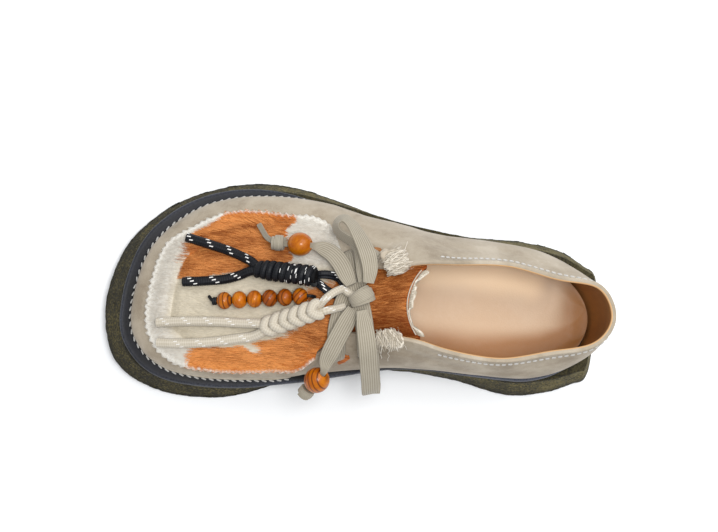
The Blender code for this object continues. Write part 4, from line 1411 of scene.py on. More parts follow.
@dataclass(frozen=True)
class FloorFinish:
    """Pale studio paper."""

    pale: Colour = tint(250, 251, 252)
    shade: Colour = tint(247, 248, 250)

    def make(self) -> Material:
        """Clouds the paper very faintly.

        Returns:
            The material.
        """
        sheet = NodeSheet("studio_paper")
        faint = sheet.noise(sheet.place(), 0.6, 2.0)
        return sheet.finish(sheet.blend(faint, self.shade, self.pale), 0.9, None)


@dataclass(frozen=True)
class Finishes:
    """Every material of the shoe, made once."""

    crepe: Material
    rubber: Material
    suede: Material
    cut_suede: Material
    footbed: Material
    lining: Material
    hide: Material
    hair: Material
    lace: Material
    wood: Material
    black: Material
    fleck: Material
    cream: Material
    cotton: Material

    @classmethod
    def mixed(cls) -> "Finishes":
        """Makes the materials.

        Returns:
            The set of them.
        """
        cut_suede = SuedeFinish("suede_cut", tint(158, 147, 130), tint(190, 180, 163), tint(216, 208, 194))
        footbed = LeatherFinish(
            name="leather_footbed",
            pale=tint(212, 183, 152),
            middle=tint(206, 174, 140),
            edge_tan=tint(152, 100, 45),
            painted_light_tan=tint(246, 215, 176),
        )
        lining = LeatherFinish(
            name="leather_lining",
            pale=tint(166, 112, 58),
            middle=tint(142, 90, 42),
            edge_tan=tint(206, 164, 116),
            painted_light_tan=tint(166, 112, 58),
            gloss=0.5,
        )
        return cls(
            crepe=CrepeFinish().make(),
            rubber=RubberFinish().make(),
            suede=SuedeFinish().make(),
            cut_suede=cut_suede.make(),
            footbed=footbed.make(),
            lining=lining.make(),
            hide=HideFinish().make(),
            hair=HairFinish().make(),
            lace=WovenFinish("lace_taupe", tint(134, 126, 110), tint(168, 160, 144)).make(),
            wood=WoodFinish().make(),
            black=WovenFinish("braid_black", tint(2, 3, 5), tint(23, 25, 31), 0.46, 0.0).make(),
            fleck=WovenFinish("thread_white", tint(188, 186, 182), tint(232, 230, 226), 0.5, 0.1).make(),
            cream=WovenFinish("braid_cream", tint(174, 164, 146), tint(198, 190, 175)).make(),
            cotton=WovenFinish("cotton_raw", tint(162, 151, 133), tint(220, 212, 198)).make(),
        )


class Lamp(NamedTuple):
    """A soft round lamp that looks at the shoe: its place, its size across and its power."""

    name: str
    place: tuple[float, float, float]
    size: float
    power: float


@dataclass
class Studio:
    """The floor, the soft light and the camera at the photograph's angle."""

    image_width: int = 718
    focal_px: float = 1695.44
    camera_place: tuple[float, float, float] = (-72.4, -95.8, 1000.0)
    camera_aim: tuple[float, float, float] = (0.4, 22.8, 0.0)
    camera_roll: float = 6.5
    sensor: float = 36.0
    clip_end: float = 20.0
    floor_reach: float = 4000.0
    floor_z: float = -0.1
    lamps: tuple[Lamp, ...] = (
        Lamp("key", (420.0, 600.0, 1200.0), 1100.0, 9.0),
        Lamp("top", (60.0, -120.0, 1500.0), 600.0, 14.0),
    )
    sky_colour: tuple[float, float, float, float] = (0.97, 0.985, 1.0, 1.0)
    sky_strength: float = 0.52

    def build(self, finish: Material) -> list[Piece]:
        """Sets up the light, the camera and the floor.

        Args:
            finish: The floor's material.

        Returns:
            The pieces of the stage.
        """
        scene = bpy.context.scene
        scene.view_settings.view_transform = "Standard"
        scene.camera = self.camera()
        self.lights()
        return [self.floor(finish)]

    def camera(self) -> Piece:
        """The camera, looking down on the shoe.

        Returns:
            The camera.
        """
        place = np.array(self.camera_place)
        forward = unit(np.array(self.camera_aim) - place)
        roll = math.radians(self.camera_roll)
        right = np.array([math.cos(roll), math.sin(roll), 0.0])
        right = unit(right - forward * (right @ forward))
        up = np.cross(right, forward)
        data = bpy.data.cameras.new("camera")
        data.sensor_width = self.sensor
        data.lens = self.focal_px * self.sensor / self.image_width
        data.clip_end = self.clip_end
        obj = bpy.data.objects.new("camera", data)
        bpy.context.scene.collection.objects.link(obj)
        turn = Matrix(np.column_stack([right, up, -forward]).tolist()).to_4x4()
        obj.matrix_world = Matrix.Translation(place * MM) @ turn
        return obj

    def lights(self) -> None:
        """A large soft key from the outer heel side, a lamp overhead and an even pale sky."""
        for lamp in self.lamps:
            data = bpy.data.lights.new(lamp.name, "AREA")
            data.shape = "DISK"
            data.size = lamp.size * MM
            data.energy = lamp.power
            place = Vector(lamp.place)
            obj = bpy.data.objects.new(lamp.name, data)
            obj.location = place * MM
            obj.rotation_euler = (-place).to_track_quat("-Z", "Y").to_euler()
            bpy.context.scene.collection.objects.link(obj)
        world = bpy.data.worlds.new("sky")
        world.use_nodes = True
        sky = world.node_tree.nodes["Background"]
        sky.inputs["Color"].default_value = self.sky_colour
        sky.inputs["Strength"].default_value = self.sky_strength
        bpy.context.scene.world = world

    def floor(self, finish: Material) -> Piece:
        """A wide sheet of paper just under the tread.

        Args:
            finish: The floor's material.

        Returns:
            The floor.
        """
        skin = Skin()
        reach = np.linspace(-self.floor_reach, self.floor_reach, 9)
        x, y = np.meshgrid(reach, reach)
        skin.grid(np.stack([x, y, np.full_like(x, self.floor_z)], axis=-1))
        floor = skin.make("floor", [finish])
        return floor


@dataclass
class Sole:
    """Outsole, midsole and footbed."""

    last: Last
    finishes: Finishes
    tread_bevel: float = 2.0
    groove_width: float = 5.0
    groove_depth: float = 3.2
    groove_pitch: float = 16.0
    groove_starts: tuple[tuple[float, int], ...] = ((-112.0, 6), (76.0, 4))
    groove_wall: float = 0.04
    lip: float = 1.0
    bevel_rows: int = 5
    side_rows: int = 22
    lip_rows: int = 4
    crumb: float = 0.32
    crumb_sizes: tuple[float, float] = (3.4, 1.5)
    # Strength of the painted light on the outsole's outer side and heel.
    bleach: float = 0.08
    stations: int = 230
    # Rows of the midsole's edge: inset, share of the thickness, and strength of the painted highlight on the
    # rounded rim.
    edge_profile: tuple[tuple[float, float, float], ...] = (
        (-0.8, 0.0, 0.0), (-0.35, 0.1, 0.0), (-0.05, 0.22, 0.1), (0.0, 0.36, 0.2), (-0.02, 0.52, 0.35),
        (-0.08, 0.66, 0.6), (-0.26, 0.79, 0.9), (-0.55, 0.89, 1.0), (-0.95, 0.96, 0.8), (-1.45, 1.0, 0.45),
        (-2.2, 1.005, 0.2), (-3.2, 0.99, 0.0), (-6.5, 0.985, 0.0),
    )
    edge_wave: float = 0.16
    bed_rows: int = 150
    bed_columns: int = 41
    bed_gap: float = 1.0
    cup_rise: float = 2.6
    cup_dip: float = 0.5

    def build(self) -> list[Piece]:
        """Makes the three layers."""
        return [self.outsole(), self.midsole(), self.footbed()]

    def groove_centres(self) -> Array:
        """Where the tread's grooves are along the foot."""
        return np.array([x + self.groove_pitch * i for x, count in self.groove_starts for i in range(count)])

    def groove_floor(self, x: Array) -> Array:
        """The lowest that the tread may be at x because of a groove.

        Args:
            x: Places along the foot.

        Returns:
            Heights above the floor; below it where there is no groove.
        """
        floor = np.full_like(x, -1.0)
        for centre in self.groove_centres():
            inside = np.abs(x - centre) < self.groove_width / 2
            floor[inside] = float(tread_z(centre)) + self.groove_depth
        return floor

    def side_steps(self) -> list[tuple[float, float, float | None]]:
        """The outsole's rings, from its tread up to its lip.

        Returns:
            For each ring its inset, its rise, and its share of the side, or none round the tread's bevel.
        """
        quarter = math.pi / 2
        steps: list[tuple[float, float, float | None]] = []
        for t in np.linspace(0.0, quarter, self.bevel_rows)[:-1]:
            steps.append((self.tread_bevel * (1 - math.sin(t)), self.tread_bevel * (1 - math.cos(t)), None))
        steps += [(0.0, 0.0, share) for share in np.linspace(0.0, 1.0, self.side_rows)]
        for t in np.linspace(0.0, quarter, self.lip_rows)[1:]:
            steps.append((self.lip * (1 - math.cos(t)), self.lip * math.sin(t), 1.0))
        return steps

    def outsole(self) -> Piece:
        """The flared crepe outsole with its grooved tread and crumbly side.

        Returns:
            The outsole.
        """
        walls = self.groove_centres()[:, None] + np.array([-1, 1]) * self.groove_width / 2
        walls = np.concatenate([walls.ravel() - self.groove_wall, walls.ravel() + self.groove_wall])
        half = np.concatenate([np.linspace(0, 1, self.stations), loop_angle(walls / SOLE_LENGTH + 0.5)])
        angles = loop_angles(np.unique(half))
        floor = self.last.floor_outline(angles)
        normals = self.last.plan_normals(self.last.floor_outline, angles)
        x = floor[:, 0]
        bottom, top, flare = tread_z(x), outsole_top_z(x), edge_size(x, "flare")
        groove = self.groove_floor(x)
        lumps = Lumps(3)
        coarse, fine = self.crumb_sizes
        rings, low = [], []
        for inset, rise, share in self.side_steps():
            if share is None:
                z = bottom + rise
                shift = np.full_like(x, -inset)
            else:
                z = bottom + self.tread_bevel + (top - self.lip - bottom - self.tread_bevel) * share + rise
                shift = -flare * share - inset
            z = np.maximum(z, groove)
            points = np.stack([x + normals[:, 0] * shift, floor[:, 1] + normals[:, 1] * shift, z], axis=1)
            rough = 0.6 * lumps(points, coarse) + 0.5 * lumps(points + 40.0, fine)
            points[:, :2] += normals * (self.crumb * rough * (0.4 if share is None else 1.0))[:, None]
            rings.append(points)
            # Painted shade: the tread bevel and the top lip dark, the side darkening towards the tread, and
            # the toe darker.
            is_lip = share == 1.0
            dark = 1.0 if share is None or is_lip else max(0.0, 1.0 - 2.2 * share)
            low.append(np.maximum(dark, 0.5 * (1.0 - smooth_step(x, -110.0, -50.0))))
        skin = Skin()
        # Painted light on the outer side behind the toe and on the heel.
        outer = smooth_step(floor[:, 1], 0.0, 30.0) * smooth_step(x, -80.0, -30.0)
        bleached = self.bleach * np.maximum(outer, smooth_step(x, 96.0, 120.0))
        bleached = np.repeat(bleached[:, None], len(rings), axis=1)
        rows = np.stack(rings, axis=1)
        ids = skin.grid(rows, close_rows=True, low=np.stack(low, axis=1), bleached=bleached)
        skin.cap(ids[:, 0])
        skin.cap(ids[:, -1])
        return settle(skin.make("outsole_crepe", [self.finishes.crepe]), Slot.CREPE, "outsole")

    def midsole(self) -> Piece:
        """The rubber midsole, with a rounded edge that stands out past the upper.

        Returns:
            The midsole.
        """
        angles = loop_angles(np.linspace(0.0, 1.0, self.stations))
        ledge = edge_size(self.last.foot_outline(angles)[:, 0], "ledge")
        normals = self.last.plan_normals(self.last.foot_outline, angles)
        lumps = Lumps(5)
        rings, rub = [], []
        for inset, share, worn in self.edge_profile:
            points = self.last.moved_foot(angles, ledge + inset)
            points[:, 2] = outsole_top_z(points[:, 0]) + GAP + MIDSOLE_THICK * share
            points[:, :2] += normals * (self.edge_wave * lumps(points, 9.0))[:, None]
            rings.append(points)
            # Painted highlight on the rounded rim; paler on top at the inner heel.
            inner_heel = smooth_step(points[:, 0], 46.0, 76.0) * smooth_step(-points[:, 1], 4.0, 20.0)
            rub.append(worn * (0.55 + 0.45 * lumps(points, 26.0)) + inner_heel * (share > 0.6))
        skin = Skin()
        ids = skin.grid(np.stack(rings, axis=1), close_rows=True, rub=np.stack(rub, axis=1))
        skin.cap(ids[:, 0])
        skin.cap(ids[:, -1])
        return settle(skin.make("midsole_rubber", [self.finishes.rubber]), Slot.RUBBER, "midsole")

    def footbed(self) -> Piece:
        """The bare leather footbed, cupped a little at its edge.

        Returns:
            The footbed.
        """
        half = np.linspace(0.0, 1.0, self.bed_rows)
        across = np.sin(np.linspace(-0.5, 0.5, self.bed_columns) * math.pi)
        lateral = self.last.moved_foot(half, -(UPPER_WALL + self.bed_gap))
        medial = self.last.moved_foot(-half, -(UPPER_WALL + self.bed_gap))
        middle, spread = (lateral + medial) / 2, (lateral - medial) / 2
        rows = middle[:, None] + spread[:, None] * across[:, None]
        reach = np.linalg.norm(spread, axis=1)[:, None]
        edge = reach * (1 - np.abs(across))
        ends = np.minimum(lateral[:, 0] - lateral[0, 0], lateral[-1, 0] - lateral[:, 0])[:, None]
        near = np.minimum(edge, ends)
        base = midsole_top_z(rows[..., 0]) + GAP
        cup = self.cup_rise * (1 - smooth_step(near, 0.0, 11.0))
        cup = cup - self.cup_dip * smooth_step(near, 8.0, 30.0)
        rows[..., 2] = base + INSOLE_THICK + cup + 0.12 * Lumps(8)(rows, 24.0)
        heel = lateral[-1, 0] - rows[..., 0]
        # Darker towards the medial edge and the heel.
        inner = 1.0 - smooth_step(reach * (1 + across), 6.0, 32.0)
        inner = inner * (1.0 + 0.5 * smooth_step(-heel, -70.0, -30.0))
        back = 0.8 * (1.0 - smooth_step(heel, 4.0, 36.0))
        # Painted light near the lateral edge, where the collar shades the footbed; the mark goes below zero
        # there.
        painted_light_zone = 1.0 - smooth_step(reach * (1 - across), 12.0, 34.0)
        burnish = np.maximum(inner, back) - 1.1 * painted_light_zone * smooth_step(heel, 10.0, 40.0)
        skin = Skin()
        top = skin.grid(rows, burnish=burnish)
        under = rows.copy()
        under[..., 2] = base
        bottom = skin.grid(under, burnish=1.0)
        rim = np.concatenate([top[:, 0], top[-2:0:-1, -1]])
        low = np.concatenate([bottom[:, 0], bottom[-2:0:-1, -1]])
        skin.weave(np.stack([rim, low]), close_columns=True)
        return settle(skin.make("footbed_leather", [self.finishes.footbed]), Slot.LEATHER, "insole")


class Crease(NamedTuple):
    """A soft fold in the suede between two places; along is the share of the foot's length."""

    side: Side
    start_along: float
    start_v: float
    end_along: float
    end_v: float
    width: float
    depth: float


class Eyelet(NamedTuple):
    """An oval hole in the facing: its place in plan and half its length and width."""

    side: Side
    x: float
    y: float
    half_long: float
    half_wide: float


EYELETS = {
    "front_lateral": Eyelet(Side.LATERAL, -11.3, 21.4, 2.7, 1.9),
    "rear_lateral": Eyelet(Side.LATERAL, 2.6, 24.0, 3.4, 2.0),
    "front_medial": Eyelet(Side.MEDIAL, -9.6, -38.3, 4.0, 2.1),
    "rear_medial": Eyelet(Side.MEDIAL, 3.6, -35.4, 3.4, 2.0),
}


@dataclass
class Upper:
    """The wrap-round suede upper with its leather lining, eyelets and stitching."""

    last: Last
    finishes: Finishes
    stations: int = 220
    outer_rows: int = 50
    inner_rows: int = 26
    edge_rows: int = 7
    edge_roll: float = 0.45
    sag: tuple[float, float] = (0.22, 30.0)
    pucker: tuple[float, float] = (0.1, 9.0)
    seam_swell: float = 0.35
    seam_dip: float = 0.25
    seam_width: float = 0.03
    crease_spots: int = 9
    collar_seam: float = 5.0
    collar_start: float = 0.575
    seam_low: float = 0.7
    seam_steps: int = 30
    stitch_step: float = 0.5
    stitch_pitch: float = 3.5
    stitch_long: float = 2.5
    stitch_radius: float = 0.54
    stitch_lift: float = 0.36
    punch_reach: tuple[float, float] = (-4.4, 3.0)
    punch_sides: int = 28
    welt_end: float = 0.36
    welt_reach: float = 0.25
    thread_pitch: float = 4.3
    thread_radius: float = 0.5
    thread_share: float = 0.66
    thread_lift: float = 0.4
    thread_reach: tuple[float, float] = (0.3, 1.15)
    outer_reach: float = 0.3
    slot_place: tuple[float, float] = (0.434, 0.58)
    slot_size: tuple[float, float] = (0.0095, 0.1)
    draw_x: tuple[float, ...] = (-140.0, -125.0, -105.0, -85.0, -60.0, -42.0, -25.0, 40.0)
    draw_in: dict[Side, tuple[float, ...]] = field(
        default_factory=lambda: {
            Side.LATERAL: (2.0, 3.0, 3.3, 2.9, 1.7, 0.8, 0.0, 0.0),
            Side.MEDIAL: (2.0, 3.0, 3.3, 2.9, 2.2, 1.8, 1.3, 0.0),
        }
    )
    swell_x: tuple[float, ...] = (-60.0, -46.0, -37.0, -28.0, -20.0, -11.0, -2.0, 15.0, 24.0, 33.0, 46.0)
    swell: tuple[float, ...] = (0.0, 0.6, 1.1, 2.2, 2.9, 2.4, 1.9, 2.1, 1.6, 0.5, 0.0)
    creases: tuple[Crease, ...] = (
        Crease(Side.LATERAL, 0.385, 0.86, 0.43, 0.36, 3.4, -0.75),
        Crease(Side.LATERAL, 0.415, 0.80, 0.47, 0.30, 3.0, 0.5),
        Crease(Side.LATERAL, 0.50, 0.78, 0.56, 0.34, 4.2, -0.6),
        Crease(Side.LATERAL, 0.60, 0.66, 0.78, 0.60, 3.8, -0.5),
        Crease(Side.MEDIAL, 0.39, 0.84, 0.44, 0.34, 3.4, -0.75),
        Crease(Side.MEDIAL, 0.43, 0.80, 0.49, 0.30, 3.2, 0.5),
        Crease(Side.MEDIAL, 0.53, 0.80, 0.68, 0.62, 3.6, -0.8),
        Crease(Side.MEDIAL, 0.66, 0.56, 0.86, 0.50, 4.4, -0.5),
        Crease(Side.LATERAL, 0.02, 0.30, 0.12, 0.42, 3.0, -0.4),
        Crease(Side.MEDIAL, 0.03, 0.32, 0.14, 0.40, 3.0, -0.4),
    )

    def build(self) -> list[Piece]:
        """Makes the upper, its seams and its stitches."""
        return [self.shell(), self.collar_stitches(), *self.welt(), self.slot_hide()]

    def collar_v(self, angles: Array) -> Array:
        """How far up the wall the collar's seam runs.

        Args:
            angles: Angles round the outline.

        Returns:
            The seam's share of the wall at each angle.
        """
        steps = np.linspace(self.seam_low, 1.0, self.seam_steps + 1)
        walls = np.stack([self.last.wall_point(angles, v) for v in steps], axis=1)
        below = np.linalg.norm(np.diff(walls, axis=1), axis=2)[:, ::-1].cumsum(axis=1)
        short = (below < self.collar_seam).sum(axis=1)
        return 1.0 - (1.0 - self.seam_low) * short / self.seam_steps

    def dents(self, points: Array, angles: Array, v: Array | float) -> Array:
        """How far the suede is pushed in or out by creases and by its seams.

        Args:
            points: Points in millimetres.
            angles: Angles round the outline.
            v: How far up the wall, from 0 at the featherline to 1 at the top edge.

        Returns:
            Distances out from the wall, one for each point.
        """
        total = np.zeros(len(points))
        for seed, (depth, size) in ((11, self.sag), (12, self.pucker)):
            total += depth * Lumps(seed)(points, size)
        for crease in self.creases:
            along = np.linspace(crease.start_along, crease.end_along, self.crease_spots)
            level = np.linspace(crease.start_v, crease.end_v, self.crease_spots)
            line = self.last.wall_point(crease.side.value * loop_angle(along), level)
            gaps = np.linalg.norm(points[:, None] - line[None], axis=2)
            nearest = gaps.argmin(axis=1)
            fade = np.sin(np.linspace(0.18, 0.82, self.crease_spots) * math.pi)[nearest]
            total += crease.depth * fade * np.exp(-((gaps.min(axis=1) / crease.width) ** 2))
        behind = smooth_step(loop_along(angles), self.collar_start - 0.02, self.collar_start + 0.05)
        seam = (v - self.collar_v(angles)) / self.seam_width
        swell = self.seam_swell * smooth_step(seam, 0.0, 3.0)
        total += behind * (swell - self.seam_dip * bell(seam, 0.0, 1.0))
        return total * smooth_step(v, 0.0, 0.08)

    def face(self, angles: Array, v: Array | float) -> tuple[Array, Array]:
        """Points of the suede's outer face with all its dents, and the directions out of it.

        Args:
            angles: Angles round the outline.
            v: How far up the wall, from 0 at the featherline to 1 at the top edge.

        Returns:
            The points, and the directions.
        """
        points = self.last.wall_point(angles, v)
        normals = self.last.wall_normal(angles, v)
        x = points[:, 0]
        is_outer = np.sin(math.pi * angles) > 0.0
        drawn = {side: np.interp(x, self.draw_x, sizes) for side, sizes in self.draw_in.items()}
        drawn_in = np.where(is_outer, drawn[Side.LATERAL], drawn[Side.MEDIAL])
        drawn_in = drawn_in * (1.0 - smooth_step(v, 0.0, 0.5))
        belly = smooth_step(v, 0.0, 0.14) * (1.0 - smooth_step(v, 0.3, 0.8))
        swollen = is_outer * np.interp(x, self.swell_x, self.swell) * belly
        return points + normals * (self.dents(points, angles, v) - drawn_in + swollen)[:, None], normals

    def shell(self) -> Piece:
        """The suede wall, its rolled edge and the lining, with the eyelets cut.

        Returns:
            The upper.
        """
        angles = loop_angles(np.linspace(0.0, 1.0, self.stations))
        outer_v = np.linspace(0.0, 1.0, self.outer_rows)
        grid_a, grid_v = np.meshgrid(angles, outer_v, indexing="ij")
        flat_a, flat_v = grid_a.ravel(), grid_v.ravel()
        points, normals = self.face(flat_a, flat_v)
        outer = points.reshape(len(angles), self.outer_rows, 3)
        normals = normals.reshape(outer.shape)
        rise = unit(outer[:, -1] - outer[:, -2])
        turns = np.linspace(0.0, math.pi, self.edge_rows + 2)[1:-1]
        half = UPPER_WALL / 2
        middle = outer[:, -1] - normals[:, -1] * half
        edge = moved(
            middle[:, None],
            (normals[:, -1][:, None], half * np.cos(turns)),
            (rise[:, None], self.edge_roll * half * np.sin(turns)),
        )
        pick = np.linspace(self.outer_rows - 1, 0, self.inner_rows).round().astype(int)
        inner = outer[:, pick] - normals[:, pick] * UPPER_WALL
        skin = Skin()
        # Painted shade at the toe and the inner side, painted light at the heel.
        skirt = skin.add_points(outer, worn=self.worn(outer))
        roll = skin.add_points(edge, burnish=0.9)
        inner_v = np.broadcast_to(outer_v[pick], inner.shape[:2])
        wall = skin.add_points(inner, burnish=0.75 * smooth_step(inner_v, 0.985, 1.0))
        cut = self.edge_rows // 2 + 2
        skin.weave(np.concatenate([skirt, roll[:, :cut]], axis=1), 0, close_rows=True)
        skin.weave(np.concatenate([roll[:, cut - 1 :], wall], axis=1), 1, close_rows=True)
        skin.weave(np.stack([wall[:, -1], skirt[:, 0]], axis=1), 1, close_rows=True)
        upper = skin.make("upper_suede", [self.finishes.suede, self.finishes.lining])
        self.cut_eyelets(upper)
        return settle(upper, Slot.SUEDE, "upper")

    @staticmethod
    def worn(points: Array) -> Array:
        """Painted light and shade on the nap: painted shade at the toe and the inner side, painted light at
        the heel.

        Args:
            points: Points in millimetres.

        Returns:
            What is added to the nap's tone at each point.
        """
        x, y = points[..., 0], points[..., 1]
        toe = 1.0 - smooth_step(x, -134.0, -84.0)
        inner = smooth_step(-y, -8.0, 34.0) * (1.0 - toe)
        heel = smooth_step(x, 40.0, 120.0) * (1.0 - inner)
        return -0.02 * (1.0 - toe) - 0.06 * toe - 0.08 * inner + 0.1 * heel

    def cut_eyelets(self, upper: Piece) -> None:
        """Punches the oval eyelets through suede and lining.

        Args:
            upper: The upper, which is changed.
        """
        tree = Ground.tree_of(upper)
        skin = Skin()
        for eyelet in EYELETS.values():
            start = Vector((eyelet.x, eyelet.y, SOLE_LENGTH)) * MM
            place, normal, _, _ = tree.ray_cast(start, DOWN)
            normal = np.array(normal)
            long = unit(np.array([1.0, 0.0, 0.0]) - normal * normal[0])
            wide = np.cross(normal, long)
            turns = full_turn(self.punch_sides)
            oval = moved(
                long * (eyelet.half_long * np.cos(turns))[:, None],
                (wide, eyelet.half_wide * np.sin(turns)),
            )
            centre = np.array(place) / MM
            rings = np.stack([centre + oval + normal * rise for rise in self.punch_reach])
            ids = skin.grid(rings, close_columns=True)
            skin.close_ends(ids, [centre + normal * rise for rise in self.punch_reach])
        punch = skin.make("punch", [self.finishes.suede])
        cut = upper.modifiers.new("eyelets", "BOOLEAN")
        cut.operation = "DIFFERENCE"
        cut.object = punch
        applied(upper)
        bpy.data.objects.remove(punch)

    def collar_stitches(self) -> Piece:
        """Pale stitches in the seam below the collar's edge.

        Returns:
            The stitches.
        """
        start = float(loop_angle(self.collar_start + 0.03))
        angles = np.linspace(start, 2.0 - start, 900)
        line, normals = self.face(angles, self.collar_v(angles))
        line, normals = smooth_run(line[::12], self.stitch_step), normals[::12]
        normals = spline(np.linspace(0, 1, len(normals)), normals, np.linspace(0, 1, len(line)))
        skin = Skin()
        stride = round(self.stitch_pitch / self.stitch_step)
        reach = round(self.stitch_long / self.stitch_step)
        first = np.arange(0, len(line) - reach, stride)
        lifted = line + unit(normals) * self.stitch_lift
        add_capsules(skin, lifted[first], lifted[first + reach], self.stitch_radius)
        return settle(skin.make("collar_stitches", [self.finishes.fleck]), Slot.COTTON)

    def lower_edge(self, angles: Array) -> tuple[Array, Array]:
        """Where the suede stands out furthest above the midsole in plan, and the directions out from it.

        Args:
            angles: Angles round the outline.

        Returns:
            The points, and the directions.
        """
        levels = np.linspace(0.0, 0.4, 9)
        walls = np.stack([self.face(angles, v)[0] for v in levels], axis=1)
        out = np.zeros((len(angles), 3))
        out[:, :2] = self.last.plan_normals(self.last.foot_outline, angles)
        foot = walls[:, 0]
        reach = np.sum((walls - foot[:, None]) * out[:, None], axis=2).max(axis=1)
        return foot + out * reach[:, None], out

    def welt(self) -> list[Piece]:
        """The suede's cut edge on the midsole round the forefoot, sewn down with long pale stitches.

        Returns:
            The cut edge, and its stitches.
        """
        end = float(loop_angle(self.welt_end))
        angles = np.linspace(-end, end, 420)
        edge, out = self.lower_edge(angles)
        inside = self.face(angles, 0.0)[0] - out * 0.8
        reach = out * self.welt_reach * (0.8 + 0.3 * Lumps(14)(edge, 5.0))[:, None]
        rows = np.stack(
            [
                inside + UP * 0.9,
                edge - out * 0.5 + UP * 0.75,
                edge + reach * 0.7 + UP * 0.6,
                edge + reach + UP * 0.3,
                edge + reach + UP * 0.05,
                inside + UP * 0.05,
            ],
            axis=1,
        )
        skin = Skin()
        ids = skin.grid(rows, close_columns=True)
        skin.close_ends(ids, rows[[0, -1]].mean(axis=1))
        welt = settle(skin.make("suede_welt", [self.finishes.cut_suede]), Slot.SUEDE)
        lengths = run_lengths(edge)
        first = np.arange(1.0, lengths[-1] - self.thread_pitch, self.thread_pitch)
        ends = []
        for distance in (first, first + self.thread_share * self.thread_pitch):
            is_back = (distance > first) == (first > lengths[-1] / 2)
            reach = np.where(is_back, *self.thread_reach[::-1])[:, None]
            place, away = along_line(distance, lengths, edge), along_line(distance, lengths, out)
            reach = reach + self.outer_reach * smooth_step(place[:, 1:2], -24.0, 36.0)
            ends.append(place + away * reach + UP * self.thread_lift)
        threads = Skin()
        add_capsules(threads, ends[0], ends[1], self.thread_radius)
        return [welt, settle(threads.make("sole_stitches", [self.finishes.fleck]), Slot.COTTON)]

    def slot_hide(self) -> Piece:
        """A bit of brown hide that shows through the front of the inner facing.

        Returns:
            The bit of hide.
        """
        turns = full_turn(26)
        ragged = 1.0 + 0.12 * np.sin(3 * turns + 0.6) + 0.07 * np.sin(7 * turns)
        rings = []
        for share, rise in ((1.0, -0.4), (1.0, 0.25), (0.75, 0.45), (0.4, 0.5)):
            along = self.slot_place[0] + self.slot_size[0] * share * ragged * np.cos(turns)
            v = self.slot_place[1] + self.slot_size[1] * share * ragged * np.sin(turns)
            angles = Side.MEDIAL.value * loop_angle(along)
            points, normals = self.face(angles, v)
            rings.append(points + normals * rise)
        skin = Skin()
        ids = skin.grid(np.stack(rings), close_columns=True, brown=6.0, tone=-0.08)
        skin.fan(ids[-1], rings[-1].mean(axis=0), brown=6.0, tone=-0.08)
        skin.fan(ids[0], rings[0].mean(axis=0), brown=6.0)
        return settle(skin.make("hide_in_slot", [self.finishes.hide]), Slot.HIDE)


